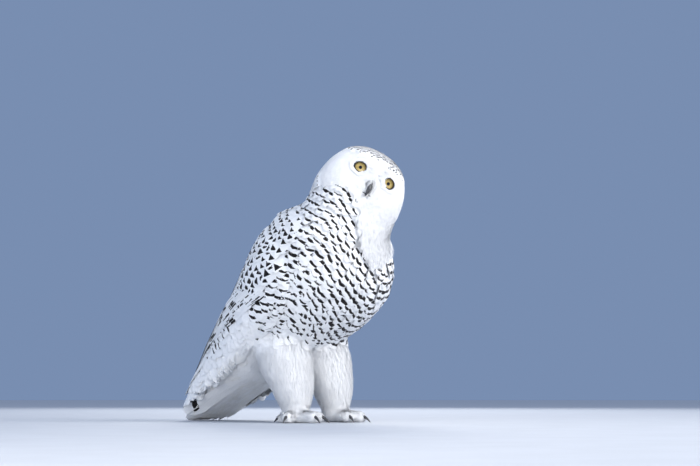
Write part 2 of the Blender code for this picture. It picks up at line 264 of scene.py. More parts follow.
def modified(obj, kind, **settings):
    """Adds a modifier with these settings and applies it."""
    bpy.ops.object.select_all(action="DESELECT")
    obj.select_set(True)
    bpy.context.view_layer.objects.active = obj
    modifier = obj.modifiers.new(kind.lower(), kind)
    for setting, value in settings.items():
        setattr(modifier, setting, value)
    bpy.ops.object.modifier_apply(modifier=modifier.name)
    return obj


def one_surface(names, name, voxel, smoothing):
    """The nodes' outside as a single even, smoothed surface."""
    surface = joined_copy(names, name)
    modified(surface, "REMESH", mode="VOXEL", voxel_size=voxel)
    return modified(surface, "SMOOTH", factor=0.5, iterations=smoothing)


def tree_of(obj):
    obj.data.calc_loop_triangles()
    corners = [tuple(t.vertices) for t in obj.data.loop_triangles]
    return BVHTree.FromPolygons([v.co.copy() for v in obj.data.vertices], corners)


def clamped(value):
    """The value, kept between 0 and 1."""
    return min(max(value, 0), 1)


def filled_neck(surface):
    """Smooths the crease under the head away, where the plumage of head and body run together."""
    group = surface.vertex_groups.new(name="neck")
    for vertex in surface.data.vertices:
        offset = vertex.co - head_middle
        lower = -offset.dot(head_up)
        if offset.length < NECK_REACH:
            weight = clamped((lower - NECK_FROM) / NECK_FADE) * clamped((NECK_TO - lower) / NECK_FADE)
            group.add([vertex.index], weight, "REPLACE")
    return modified(surface, "SMOOTH", factor=0.5, iterations=NECK_ROUNDS, vertex_group="neck")


outer = filled_neck(one_surface(FLESH + EYES, "outer_form", FORM_VOXEL, 10))
form = tree_of(outer)
bpy.data.objects.remove(outer)

skin = one_surface(FLESH, "skin", SKIN_VOXEL, 4)


def coat_depth(place):
    """How deep the coat is at this place on the body."""
    at = HEAD_AXES @ np.array(place - head_middle)
    if np.linalg.norm(at) < HEAD_SIZE and place.z > HEAD_FROM:
        return HEAD_COAT * (FACE_SHARE if at[1] > FACE_FROM else 1.0)
    on_toes = place.z < TOE_HEIGHT and abs(place.x) < TOES_OUT and place.y < 0.0
    return FOOT_COAT if on_toes else BODY_COAT


def sunk(surface):
    """Moves the surface inwards by the coat's depth, and less where the body is thin."""
    inside = tree_of(surface)
    moved = []
    for vertex in surface.data.vertices:
        normal = vertex.normal
        far = inside.ray_cast(vertex.co - normal * 0.0004, -normal)[3]
        thickness = far if far else 1.0
        moved.append(vertex.co - normal * min(coat_depth(vertex.co), thickness * THIN_SHARE))
    surface.data.vertices.foreach_set("co", np.array(moved, np.float32).ravel())
    surface.data.update()


sunk(skin)
modified(skin, "SMOOTH", factor=0.5, iterations=5)
skin.data.shade_smooth()
bpy.ops.object.mode_set(mode="EDIT")
bpy.ops.mesh.select_all(action="SELECT")
bpy.ops.mesh.quads_convert_to_tris()
bpy.ops.uv.smart_project(angle_limit=math.radians(66), island_margin=0.004)
bpy.ops.object.mode_set(mode="OBJECT")
skin.data.uv_layers[0].name = "OFBake"
skin_tree = tree_of(skin)
skin_corners = np.empty(len(skin.data.loops) * 2, np.float32)
skin.data.uv_layers["OFBake"].data.foreach_get("uv", skin_corners)
skin_corners = skin_corners.reshape(-1, 3, 2)


def unwrapped(places):
    """Where the skin nearest each place lies on the skin's own unwrap."""
    found = np.zeros((len(places), 2))
    for i, place in enumerate(places):
        spot, _, face, _ = skin_tree.find_nearest(Vector(place))
        corners = [skin.data.vertices[v].co for v in skin.data.polygons[face].vertices]
        flat = [Vector((*corner, 0)) for corner in skin_corners[face]]
        found[i] = geometry.barycentric_transform(spot, *corners, *flat)[:2]
    return found


# ---------------------------------------------------------------- the spine, and places on the body
# Rows of feathers run round the body, square to a curved line from the neck to the tail's tip.
SPINE = ((-0.163, 0.356), (-0.123, 0.285), (-0.075, 0.216), (-0.039, 0.181), (0.001, 0.149),
         (0.039, 0.119), (0.078, 0.088), (0.173, 0.024), (0.223, 0.003))     # y, z
MIDLINE = 275.0              # degrees round the body of the plumage's front line; 180 is the owl's right
FAR_OUT = 0.26               # rays towards the spine start this far from it
NEAR_SPINE = 0.012           # the spine's direction is read over this length on either side
rng = np.random.default_rng(20)


def softened(points, rounds=3):
    """Cuts the corners of a line, so that it bends smoothly."""
    line = np.array(points, float)
    for _ in range(rounds):
        early, late = line[:-1] * 0.75 + line[1:] * 0.25, line[:-1] * 0.25 + line[1:] * 0.75
        line = np.concatenate([line[:1], np.stack([early, late], 1).reshape(-1, 2), line[-1:]])
    return line


spine_line = softened(SPINE)
spine_steps = np.linalg.norm(np.diff(spine_line, axis=0), axis=1)
spine_at = np.concatenate([[0], np.cumsum(spine_steps)])


def spine_place(along):
    """The spine's point this far along it from the neck, and its direction there."""
    at = np.clip(along, 0, spine_at[-1])
    y, z = (np.interp(at, spine_at, spine_line[:, i]) for i in (0, 1))
    ahead, behind = min(at + NEAR_SPINE, spine_at[-1]), max(at - NEAR_SPINE, 0)
    run = [np.interp(ahead, spine_at, spine_line[:, i]) - np.interp(behind, spine_at, spine_line[:, i])
           for i in (0, 1)]
    tangent = Vector((0, *run)).normalized()
    point = Vector((0, y, z)) + tangent * (along - at)
    return point, tangent


def on_body(along, degrees):
    """The coat's outer surface at this distance along the spine and this angle round it: place, normal."""
    point, tangent = spine_place(along)
    back = Vector((0, -tangent.z, tangent.y))
    turn = math.radians(degrees)
    outwards = Vector((math.cos(turn), 0, 0)) + back * math.sin(turn)
    place, normal, _, _ = form.ray_cast(point + outwards * FAR_OUT, -outwards)
    return (place, normal) if place else (point + outwards * 0.05, outwards)


# ---------------------------------------------------------------- feathers as meshes
# A body feather is a thin curved vane with a soft fringe of loose barbs along its end. It is rooted in
# the skin and lies back over its neighbours; the dark marks are bands of its own faces.
PATCH = 0.0015               # half of the place that a feather has on the bake map
LOWEST = 0.0006              # no feather reaches below this height over the floor
dark_places = []             # where the coat is dark, for the skin's own marks


class Coat:
    """Feathers gathered into one mesh, with what the finish reads from each face."""

    def __init__(self):
        self.points, self.quads, self.tris = [], [], []
        self.quad_facts, self.tri_facts = [], []        # root's place on the skin map, mark, tone
        self.quad_vanes, self.tri_vanes = [], []
        self.count = 0

    def add_points(self, points):
        first = self.count
        self.points.append(points.reshape(-1, 3))
        self.count += points.size // 3
        return first

    def build(self, name, material):
        """Makes the mesh object, its attributes and maps, and hangs it on the body."""
        points = np.concatenate(self.points)
        points[:, 2] = np.maximum(points[:, 2], LOWEST)
        quads, tris = np.concatenate(self.quads), np.concatenate(self.tris)
        facts = np.concatenate([np.concatenate(self.quad_facts), np.concatenate(self.tri_facts)])
        dark_places.append(points[quads[facts[:len(quads), 2] > 0.5]].mean(1))
        mesh = bpy.data.meshes.new(name)
        mesh.vertices.add(len(points))
        mesh.vertices.foreach_set("co", points.astype(np.float32).ravel())
        corners = np.concatenate([quads.ravel(), tris.ravel()]).astype(np.int32)
        mesh.loops.add(len(corners))
        mesh.loops.foreach_set("vertex_index", corners)
        starts = np.concatenate([np.arange(len(quads)) * 4, len(quads) * 4 + np.arange(len(tris)) * 3])
        mesh.polygons.add(len(starts))
        mesh.polygons.foreach_set("loop_start", starts.astype(np.int32))
        mesh.update(calc_edges=True)
        mesh.validate()
        for column, attribute in ((2, "mark"), (3, "tone")):
            layer = mesh.attributes.new(attribute, "FLOAT", "FACE")
            layer.data.foreach_set("value", facts[:, column].astype(np.float32))
        vane = np.concatenate([np.concatenate(self.quad_vanes).reshape(-1, 2),
                               np.concatenate(self.tri_vanes).reshape(-1, 2)])
        mesh.uv_layers.new(name="vane").data.foreach_set("uv", vane.astype(np.float32).ravel())
        bake = mesh.uv_layers.new(name="OFBake")
        bake.data.foreach_set("uv", self.patches(facts, len(quads)).astype(np.float32).ravel())
        mesh.shade_smooth()
        mesh.materials.append(material)
        piece = bpy.data.objects.new(name, mesh)
        bpy.context.scene.collection.objects.link(piece)
        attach(piece, "root")

    def patches(self, facts, quads):
        """Each face on its feather's patch: pale faces in the map's left half, dark ones in its right."""
        dark = (facts[:, 2] > 0.5).astype(float)
        middle = np.stack([facts[:, 0] * 0.49 + dark * 0.5 + 0.005, facts[:, 1] * 0.99 + 0.005], 1)
        square = np.array([(-1, -1), (1, -1), (1, 1), (-1, 1)]) * PATCH
        return np.concatenate([(middle[:quads, None] + square).reshape(-1, 2),
                               (middle[quads:, None] + square[:3]).reshape(-1, 2)])


def unit(vectors):
    return vectors / np.maximum(np.linalg.norm(vectors, axis=-1, keepdims=True), 1e-9)


def run_over(roots, flows, lengths, shares):
    """Each feather's path over the form: its places, outward normals and headings at these shares of it."""
    count, rows = shares.shape
    places, normals, headings = (np.zeros((count, rows, 3)) for _ in range(3))
    place, heading = np.array(roots, float), unit(np.array(flows, float))
    for k in range(rows):
        if k:
            place = place + heading * ((shares[:, k] - shares[:, k - 1]) * lengths)[:, None]
        for i in range(count):
            spot, normal, _, _ = form.find_nearest(Vector(place[i]))
            place[i] = spot
            normals[i, k] = normal
        heading = unit(heading - normals[:, k] * (heading * normals[:, k]).sum(1, keepdims=True))
        places[:, k], headings[:, k] = place, heading
    smooth = normals.copy()
    smooth[:, 1:] += normals[:, :-1]
    smooth[:, :-1] += normals[:, 1:]
    return places, unit(smooth), headings


def outline(shares, tip):
    """A vane's half width at these shares of its length, as a share of its greatest."""
    rise = np.clip(0.30 + 1.5 * shares, 0, 1)
    fall = np.clip((shares - 0.66) / 0.34, 0, 1)
    return rise * (1 - (1 - tip) * fall ** 2.4)


ROWS, COLUMNS = 8, 7
BANDS = ((2, 3), (4, 5))     # the cross rows between which the two dark bands lie
THINNING = np.array([0.75, 0.62, 0.12, 0.0, 0.12, 0.62, 0.75])     # how a band thins out towards its ends
PLAIN_MIDDLE = 0.66          # half width of a vane's middle strips on the rows without a band
CUP, WAVER = 0.12, 0.06      # how hollow a vane is, and how uneven
BARBS = 12                   # loose barbs along a feather's end


def vanes(coat, roots, flows, length, width, bars, inner, marks, sink=0.006, lift=0.0005,
          arc=0.36, tip=0.55, roll=0.05, fringe=0.0026, pinch=1.0):
    """Adds feathers. bars holds the shares of each one's length where its two dark bands start and end,
    inner how wide the bands are there, and marks how dark each band is."""
    count = len(roots)
    if not count:
        return
    length, width = np.broadcast_to(length, count), np.broadcast_to(width, count)
    tone = rng.random(count)
    shares = np.column_stack([np.zeros(count), bars[:, 0] * 0.55, bars, bars[:, 3] * 0.45 + 0.55,
                              np.ones(count)])
    places, normals, headings = run_over(roots, flows, length, shares)
    sides = unit(np.cross(headings, normals))
    half = outline(shares, tip) * (width / 2)[:, None]
    plain = np.full(count, PLAIN_MIDDLE)
    middle = np.column_stack([plain, plain, inner, inner[:, 3], plain])
    across = np.tile(np.linspace(-1, 1, COLUMNS), (count, ROWS, 1))
    for column, share in ((1, -1), (2, -0.5), (4, 0.5), (5, 1)):
        across[:, :, column] = middle * share
    height = lift - sink * (1 - shares) ** 1.6 + (rng.random(count) * 0.0004)[:, None]
    tilt = rng.normal(0, roll, count)[:, None, None]
    off = across * half[:, :, None]
    up = height[:, :, None] - CUP * off ** 2 / np.maximum(half, 1e-6)[:, :, None] + tilt * off
    slide = -arc * (0.25 + 0.75 * shares ** 5)[:, :, None] * across ** 2 * half[:, :, None]
    slide += rng.normal(0, WAVER, (count, ROWS, COLUMNS)) * half[:, :, None]
    for near, far in BANDS:
        thinned = ((shares[:, far] - shares[:, near]) * length / 2 * pinch)[:, None] * THINNING
        slide[:, near] += thinned
        slide[:, far] -= thinned
    points = (places[:, :, None] + sides[:, :, None] * off[..., None] + normals[:, :, None] * up[..., None]
              + headings[:, :, None] * slide[..., None])
    first = coat.add_points(points)
    corner = first + np.arange(count * ROWS * COLUMNS).reshape(count, ROWS, COLUMNS)
    dark = np.zeros((count, ROWS - 1, COLUMNS - 1))
    for band, (near, _) in enumerate(BANDS):
        dark[:, near, 1:-1] = marks[:, band, None]
    where = unwrapped(roots)
    faces = (ROWS - 1) * (COLUMNS - 1)
    coat.quads.append(quads_between(corner).reshape(-1, 4))
    coat.quad_facts.append(np.column_stack([where.repeat(faces, 0), dark.reshape(-1), tone.repeat(faces)]))
    along = np.tile(shares[:, :, None], (1, 1, COLUMNS))
    coat.quad_vanes.append(quads_between(np.stack([(across + 1) / 2, along], -1)).reshape(-1, 4, 2))
    add_fringe(coat, points, headings, sides, where, tone, fringe)


def quads_between(grid):
    """The four corners of each cell of a (feather, row, column) grid."""
    return np.stack([grid[:, :-1, :-1], grid[:, 1:, :-1], grid[:, 1:, 1:], grid[:, :-1, 1:]], 3)


def add_fringe(coat, points, headings, sides, where, tone, reach):
    """Loose barbs: two layers of fine points along the feather's end, and some on each of its sides."""
    count = len(points)
    steps_along = np.linspace(0, COLUMNS - 1, 2 * BARBS + 1)
    low = np.minimum(steps_along.astype(int), COLUMNS - 2)
    part = (steps_along - low)[None, :, None]
    end = points[:, -1, low] * (1 - part) + points[:, -1, low + 1] * part
    bases = [(end[:, k], end[:, k + 2], headings[:, -1] + sides[:, -1] * (k + 1 - BARBS) / BARBS * 0.55)
             for k in range(2 * BARBS - 1)]
    for k in range(4, ROWS - 1):
        for column, sign in ((0, -1), (COLUMNS - 1, 1)):
            bases.append((points[:, k, column], points[:, k + 1, column],
                          headings[:, k] + sides[:, k] * sign * 0.40))
    low, high, aim = (np.stack([base[i] for base in bases], 1) for i in range(3))
    number = len(bases)
    aim = unit(aim + rng.normal(0, 0.10, (count, number, 3)))
    layer = np.where(np.arange(number) % 2, 0.72, 1.0)[None, :, None]
    middle = (low + high) / 2
    far = middle + aim * reach * layer * (0.65 + 0.7 * rng.random((count, number, 1)))
    back = middle - aim * 0.0010
    first = coat.add_points(np.stack([low * 0.7 + back * 0.3, high * 0.7 + back * 0.3, far], 2))
    coat.tris.append(first + np.arange(count * number * 3).reshape(-1, 3))
    coat.tri_facts.append(np.column_stack([where.repeat(number, 0), np.zeros(count * number),
                                           tone.repeat(number)]))
    coat.tri_vanes.append(np.tile([(0.45, 0.9), (0.55, 0.9), (0.5, 1.0)], (count * number, 1, 1)))


STRAND_SHARES = (0.0, 0.35, 0.70, 1.0)                # a strand's four places along its length
STRAND_TAPER = np.array([0.8, 1.0, 0.75, 0.0])        # how thick it is there
STRAND_SPREAD = 0.8                                   # how much further apart the strands' ends are


def locks(coat, roots, flows, length, width, strands, sink, lift, thick, wave=0.10):
    """Adds soft white hair-like feathers: each a fan of thin tapering strands from one root."""
    count = len(roots)
    length, width = np.broadcast_to(length, count), np.broadcast_to(width, count)
    tone = rng.random(count)
    shares = np.tile(STRAND_SHARES, (count, 1))
    places, normals, headings = run_over(roots, flows, length, shares)
    sides = unit(np.cross(headings, normals))
    fan = np.linspace(-1, 1, strands)[None, :] + rng.normal(0, 0.16, (count, strands))
    reach = 0.72 + 0.36 * rng.random((count, strands)) - 0.16 * fan ** 2
    wide = (width / 2)[:, None, None]
    off = fan[:, :, None] * wide * (0.35 + STRAND_SPREAD * shares[:, None, :] ** 1.3)
    off = off + rng.normal(0, wave, (count, strands, 4)) * wide * shares[:, None, :]
    up = lift - sink * (1 - shares[:, None, :]) ** 1.6 + rng.random((count, strands, 1)) * 0.0007
    back = (reach[:, :, None] - 1) * shares[:, None, :] * length[:, None, None]
    line = (places[:, None] + sides[:, None] * off[..., None] + normals[:, None] * up[..., None]
            + headings[:, None] * back[..., None])
    half = wide * thick * STRAND_TAPER[None, None]
    left = line - sides[:, None] * half[..., None]
    right = line + sides[:, None] * half[..., None]
    points = np.concatenate([left[:, :, :3], right[:, :, :3], line[:, :, 3:]], 2)
    first = coat.add_points(points)
    corner = first + np.arange(count * strands * 7).reshape(-1, 7)
    quads = np.concatenate([corner[:, [0, 1, 4, 3]], corner[:, [1, 2, 5, 4]]])
    tris = corner[:, [2, 6, 5]]
    coat.quads.append(quads)
    coat.tris.append(tris)
    where = unwrapped(roots).repeat(strands, 0)
    facts = np.column_stack([where, np.zeros(count * strands), tone.repeat(strands)])
    coat.quad_facts.append(np.concatenate([facts, facts]))
    coat.tri_facts.append(facts)
    strip = np.array([(0.3, 0.2), (0.3, 0.6), (0.7, 0.6), (0.7, 0.2)])
    coat.quad_vanes.append(np.tile(strip, (len(quads), 1, 1)))
    coat.tri_vanes.append(np.tile([(0.3, 0.7), (0.5, 1.0), (0.7, 0.7)], (len(tris), 1, 1)))


# ---------------------------------------------------------------- plumage finish
# Snowy owl feathers are white with a faint cool or cream cast, and their bars are a very dark brown.
# Fine barbs run out from each shaft, and each vane is painted greyer towards its root: painted shade where
# the feathers that lie over it cover it.
WHITE, SHADED_WHITE, CREAM = (0.93, 0.935, 0.94), (0.80, 0.82, 0.85), (0.90, 0.88, 0.82)
BAR_DARK, BAR_BROWN = (0.006, 0.005, 0.006), (0.030, 0.022, 0.018)
BARB_LINES = 420


def plumage(name, cream=0.0):
    """Feather white, or the bars' brown-black where a face is marked, with fine barbs."""
    finish = Finish(name, Roughness=0.8, Sheen_Weight=0.06, Specular_IOR_Level=0.18)
    mark, tone = finish.attribute("mark"), finish.attribute("tone")
    vane = finish.node("ShaderNodeUVMap", {"uv_map": "vane"}, {})
    parts = {axis: finish.node("ShaderNodeSeparateXYZ", {}, {0: vane}, axis) for axis in ("X", "Y")}
    from_shaft = abs(parts["X"] - 0.5)
    barbs = (parts["Y"] * BARB_LINES - from_shaft * BARB_LINES * 0.6).math_of("SINE")
    shaft = 1 - from_shaft.ramp(0.010, 0.030)
    mottle = finish.noise(90, 3)
    pale = finish.mix(tone * 0.45 + mottle * 0.25, WHITE, SHADED_WHITE)
    pale = finish.mix(tone * cream + shaft * 0.10, pale, CREAM)
    # Painted shade: the vane's root, covered by the feathers over it, is mixed towards the shaded white.
    pale = finish.mix((1 - parts["Y"].ramp(0.15, 0.75)) * 0.45, pale, SHADED_WHITE)
    dark = finish.mix(mottle.ramp(0.45, 0.75) * 0.4 + tone * 0.2, BAR_DARK, BAR_BROWN)
    colour = finish.mix(mark, pale, dark)
    return finish.show(Base_Color=colour, Normal=finish.bump(barbs * 0.5 + shaft, 0.35, 0.0003))


white_feather = plumage("white_feather")
cream_feather = plumage("cream_feather", cream=0.5)

# ---------------------------------------------------------------- wings' place on the body
# The folded wings lie on the body's sides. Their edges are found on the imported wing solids. The
# plumage of the breast puffs over the wing's wrist and its front edge, most of all lower down.
WING_MARGIN = 0.0035
EDGES_FROM, EDGE_STEP = 0.03, 0.006          # where along the spine the wing's edges are looked for
EDGE_TURNS = range(-55, 95, 2)               # and at which turns
WING_SIDES = (("right", -1), ("left", 1))
COVER = ((0.10, 1.10), (0.13, 1.02), (0.16, 0.86), (0.21, 0.76), (0.28, 0.68),
         (0.37, 0.58))                       # distance along the spine, share of the wing that shows
wing_trees = {word: tree_of(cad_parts["wing_" + word]) for word, _ in WING_SIDES}


def steps(values, *pairs):
    """Straight-line steps through (value, result) pairs."""
    return np.interp(values, [p[0] for p in pairs], [p[1] for p in pairs])


def eased(values):
    """0 below 0, 1 above 1 and smooth between them."""
    values = np.clip(values, 0, 1)
    return values * values * (3 - 2 * values)


def on_wing(place, word):
    return wing_trees[word].find_nearest(place)[3] < WING_MARGIN


def around(side, turned):
    """Degrees round the body for this turn from straight out to the side, backwards positive."""
    return 180 - turned if side < 0 else turned


def wing_edges(word, side):
    """For each distance along the spine, the wing's front and rear edge in degrees from straight out."""
    found = []
    for along in np.arange(EDGES_FROM, spine_at[-1], EDGE_STEP):
        turns = [t for t in EDGE_TURNS if on_wing(on_body(along, around(side, t))[0], word)]
        if len(turns) > 2:
            found.append((along, min(turns), max(turns)))
    table = np.array(found, float)
    kernel = np.ones(7) / 7
    for column in (1, 2):
        padded = np.pad(table[:, column], 3, mode="edge")
        table[:, column] = np.convolve(padded, kernel, "valid")
    return table


edges = {word: wing_edges(word, side) for word, side in WING_SIDES}


def wing_turn(word, along, share):
    """Degrees from straight out at this share of the wing's breadth, 0 at its rear edge, 1 at its front."""
    table = edges[word]
    front, rear = (np.interp(along, table[:, 0], table[:, i]) for i in (1, 2))
    return rear + (front - rear) * share * steps(along, *COVER)


# ---------------------------------------------------------------- breast, belly, back and neck
# Rows of overlapping contour feathers run round the body and droop towards the breast's middle. The
# throat and bib are pure white, and breast, flanks and mantle carry a dark bar near each feather's end.
ROW_STEP, FEATHER_STEP = 0.0122, 0.0108
BODY_FROM, BODY_TO = -0.105, 0.405
DROOP = 0.084                            # how far down the spine the rows droop
PEAK_TURN, NEAR_TURN = 28, 78            # the droop is deepest at the first turn and starts at the second
BACK_TURN = 105                          # feathers further round than this are the back's
BELLY_FROM = 0.125                       # where along the spine the breast ends
WHITE_BY_LEGS, WHITE_BELOW = 0.022, 0.15     # no bars this near the legs and lower than this
FEATHER_LENGTH, BAR_REACH = 0.037, 0.030     # a feather's length, and from its root to its last bar
BAR_DEEP, BAR_GAP, BARS_APART = 0.0045, 0.0052, 0.0120      # a bar, the white below it, bar to bar
# These tables hold distances along the spine, and the feathers' size, their width, how deep their bars
# are and what share of them is barred there.
FEATHER_SIZES = ((-0.02, 0.62), (0.04, 0.80), (0.10, 1.0), (0.20, 1.05), (0.26, 0.90), (0.42, 0.95))
FEATHER_WIDTHS = ((0.0, 0.0135), (0.06, 0.0170), (0.12, 0.0205), (0.30, 0.0225))
BAR_SIZES = ((0.02, 0.75), (0.07, 1.0), (0.17, 1.0), (0.22, 0.8))
BARRED_BACK = ((0.26, 0.95), (0.34, 0.3), (0.40, 0))
BARRED_FRONT = ((0.17, 0.97), (0.205, 0.7), (0.225, 0.1), (0.24, 0))
BIB_STEP, BIB_LENGTH = 0.0032, 0.017
BIB_FROM, BIB_RADIUS = 0.020, 0.080      # the bib's start along the spine, and its distance from the spine
BIB_MIDDLE = ((0.050, 22), (0.092, -18))     # distance along the spine, turn of the bib's middle
BIB_SIDE = ((0.030, 60), (0.057, 44), (0.070, 18), (0.082, 0))     # distance, half the bib's breadth
FLAT_ENOUGH = 0.45                       # cosine of the sharpest bend that a feather lies over
COLLAR = ((-180, -0.045), (-107, -0.045), (-89, -0.068), (-74, -0.095), (-58, -0.090), (-47, -0.077),
          (-32, -0.066), (-13, -0.053), (-2, -0.046), (13, -0.037), (22, -0.030), (34, -0.024),
          (51, -0.030), (68, -0.037), (93, -0.045), (180, -0.045))     # degrees round the head, height


def in_head(places):
    """These places from the head's middle: rightwards, forwards and upwards in the head."""
    return (places - np.array(head_middle)) @ HEAD_AXES.T


def above_collar(places):
    """How far above the edge of the white head and bib these places lie."""
    at = in_head(places)
    return at[:, 2] - steps(np.degrees(np.arctan2(at[:, 0], at[:, 1])), *COLLAR)


def droop(turn, row):
    """How much further down the spine a row lies at this turn from the breast's middle."""
    if turn < PEAK_TURN:
        share = eased((turn + NEAR_TURN) / (PEAK_TURN + NEAR_TURN))
    else:
        share = 1 - eased((turn - PEAK_TURN) / (180 - PEAK_TURN))
    low_flank = 0.030 * eased((row - 0.05) / 0.10) * clamped((abs(turn) - 60) / 40) ** 2
    return DROOP * steps(row, (0.10, 1), (0.26, 0.35)) * share + low_flank


def body_root(row, turn):
    return on_body(row + droop(turn, row), MIDLINE + turn)


def in_bib(along, turn):
    """Whether the bib's soft white point covers this distance along the spine and this turn."""
    return np.abs(turn - steps(along, *BIB_MIDDLE)) < steps(along, *BIB_SIDE)


def lie_flat(places, flows, length):
    """Which feathers lie over a smooth stretch of the form, and not across one of its sharp edges."""
    ends = places + unit(flows) * np.broadcast_to(length, len(places))[:, None]
    near = np.array([form.find_nearest(Vector(p))[1] for p in places])
    far = np.array([form.find_nearest(Vector(p))[1] for p in ends])
    return (near * far).sum(1) > FLAT_ENOUGH


def body_rows(first, last, step, across):
    """Roots for the body's rows: place, flow, distance along the spine, turn."""
    found = []
    for i, row in enumerate(np.arange(first, last, step)):
        radius = (body_root(row, -90)[0] - spine_place(row)[0]).length
        count = max(int(math.pi * min(radius, 0.11) / across), 6)
        for k in range(-count, count + 1):
            turn = (k + 0.5 * (i % 2)) / count * 180 + rng.normal(0, 1.5)
            if abs(turn) > 180:
                continue
            at = row + rng.normal(0, 0.0014)
            place, normal = body_root(at, turn)
            ahead = body_root(at, turn + 3)[0] - body_root(at, turn - 3)[0]
            down = spine_place(at + droop(turn, at))[1]
            flow = normal.cross(ahead).normalized()
            flow = flow if flow.dot(down) > 0 else -flow
            across_rows = 0.92 if turn < PEAK_TURN else 0.5
            flow = flow * across_rows + down * (1 - across_rows)
            found.append((*place, *flow, at + droop(turn, at), turn))
    return np.array(found)


fine_along = np.linspace(0, spine_at[-1], 400)
fine_spine = np.array([spine_place(a)[0] for a in fine_along])


def spine_distance(point):
    """How far along the spine the section through this point lies."""
    offset = fine_spine[:, 1:] - np.array(point)[1:]
    return fine_along[np.argmin((offset ** 2).sum(1))]


def body_turn(point, along, side):
    """Degrees from straight out to the side, backwards positive, of a point on that section."""
    middle, tangent = spine_place(along)
    back = Vector((0, -tangent.z, tangent.y))
    out = point - middle
    return math.degrees(math.atan2(out.dot(back), side * out.x))


def inside_wing(places, rear_share, front_gap):
    """Which places a folded wing covers, from so many degrees behind its front edge to a rear share."""
    result = np.zeros(len(places), bool)
    for i, place in enumerate(places):
        point = Vector(place)
        word, side = ("left", 1) if point.x > 0 else ("right", -1)
        along = spine_distance(point)
        if along > edges[word][0, 0]:
            turn = body_turn(point, along, side)
            front, rear = wing_turn(word, along, 1) + front_gap, wing_turn(word, along, rear_share)
            result[i] = front < turn < rear
    return result


leg_trees = {word: tree_of(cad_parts["leg_" + word]) for word, _ in WING_SIDES}
body = body_rows(BODY_FROM, BODY_TO, ROW_STEP, FEATHER_STEP)
size = steps(body[:, 6], *FEATHER_SIZES)
tips = body[:, :3] + unit(body[:, 3:6]) * (BAR_REACH * size)[:, None]
from_legs = np.array([min(tree.find_nearest(Vector(p))[3] for tree in leg_trees.values())
                      for p in body[:, :3]])

# The head, the bib, the wings and the legs have feathers of their own, so the rows stop at them.
keep = (above_collar(tips) < 0.004) | (in_head(tips)[:, 2] < -0.040)
keep &= ~inside_wing(body[:, :3], 0.10, 7)
keep &= (from_legs > 0.004) | (body[:, 2] > 0.112)
keep &= in_head(body[:, :3])[:, 2] < -0.010
keep &= lie_flat(body[:, :3], body[:, 3:6], BAR_REACH * size)
keep &= ~in_bib(body[:, 6] + 0.008, body[:, 7])
body, size, tips, from_legs = body[keep], size[keep], tips[keep], from_legs[keep]
places, flows, along, turns = body[:, :3], body[:, 3:6], body[:, 6], body[:, 7]
count = len(body)
length = FEATHER_LENGTH * size * rng.normal(1, 0.05, count)
width = steps(along, *FEATHER_WIDTHS) * rng.normal(1, 0.06, count)
behind = np.abs(turns) > BACK_TURN
chance = np.where(behind, steps(along, *BARRED_BACK), steps(along, *BARRED_FRONT))
off_legs = (from_legs > WHITE_BY_LEGS) | (places[:, 2] > WHITE_BELOW)
barred = (above_collar(tips) < 0) & (rng.random(count) < chance) & off_legs
tip_gap = rng.normal(BAR_GAP, 0.0006, count)
bar_deep = np.clip(rng.normal(BAR_DEEP, 0.0007, count), 0.003, 0.007) * steps(along, *BAR_SIZES)
bar_end = 1 - tip_gap / length
bar_start = bar_end - bar_deep / length
bars = np.column_stack([bar_start - BARS_APART / length, bar_end - BARS_APART / length, bar_start, bar_end])
inner = rng.uniform(0.94, 1.0, (count, 4))
marks = np.column_stack([barred & (rng.random(count) < 0.85), barred]).astype(float)
upper, lower = ~behind & (along < BELLY_FROM), ~behind & (along >= BELLY_FROM)
for name, chosen in (("coat_breast", upper), ("coat_belly", lower), ("coat_back", behind)):
    coat = Coat()
    vanes(coat, places[chosen], flows[chosen], length[chosen], width[chosen], bars=bars[chosen],
          inner=inner[chosen], marks=marks[chosen], sink=0.007, pinch=0.35)
    coat.build(name, white_feather)

# The bib is softer: fine white feathers that hang from the throat in a point. They stand higher on the
# owl's left, where they fill the crease under its turned head.
found = []
for along in np.arange(BIB_FROM, BIB_SIDE[-1][0], BIB_STEP):
    middle, breadth = steps(along, *BIB_MIDDLE), steps(along, *BIB_SIDE)
    for turn in np.arange(middle - breadth, middle + breadth, math.degrees(BIB_STEP / BIB_RADIUS)):
        place = on_body(along + rng.normal(0, 0.0012), MIDLINE + turn + rng.normal(0, 0.8))[0]
        found.append((*place, *spine_place(along)[1], along, turn))
found = np.array(found)
from_head = np.linalg.norm(found[:, :3] - np.array(head_middle), axis=1)
in_crease = (found[:, 7] > 8) & (found[:, 6] > 0.028)
found = found[(above_collar(found[:, :3]) < 0.010) | (from_head > 0.078) | in_crease]
places, flows, along, turns = found[:, :3], found[:, 3:6], found[:, 6], found[:, 7]
coat = Coat()
length = BIB_LENGTH * rng.normal(1, 0.10, len(found))
lift = 0.0024 + 0.0046 * eased(1 - np.abs(along - 0.046) / 0.026) * eased(turns / 25)
locks(coat, places, flows, length, 0.0075, strands=6, sink=0.003, lift=lift[:, None, None],
      thick=0.15, wave=0.14)
locks(coat, places[::2], flows[::2], length[::2], 0.0100, strands=4, sink=0.004,
      lift=lift[::2, None, None] - 0.0020, thick=0.40)
coat.build("coat_bib", white_feather)

# ---------------------------------------------------------------- wings' coverts and scapulars
# Short stiff feathers roof the folded wing in rows that run down towards its tip. They are white with
# a bold dark triangle or lens near the end, smaller and closer set along the mantle.
COVERT_STEP, COVERT_ACROSS = 0.0115, 0.0105
COVERTS_FROM, COVERTS_TO = 0.045, 0.318
COVERT_SLOPE = 0.016         # how much further down the spine a row lies at the wing's front edge
WING_RADIUS = 0.095          # the wing's breadth is read round a circle of this size
MANTLE = 0.42                # up to this share of the breadth the feathers are the mantle's
SPOTS_APART = 0.0125
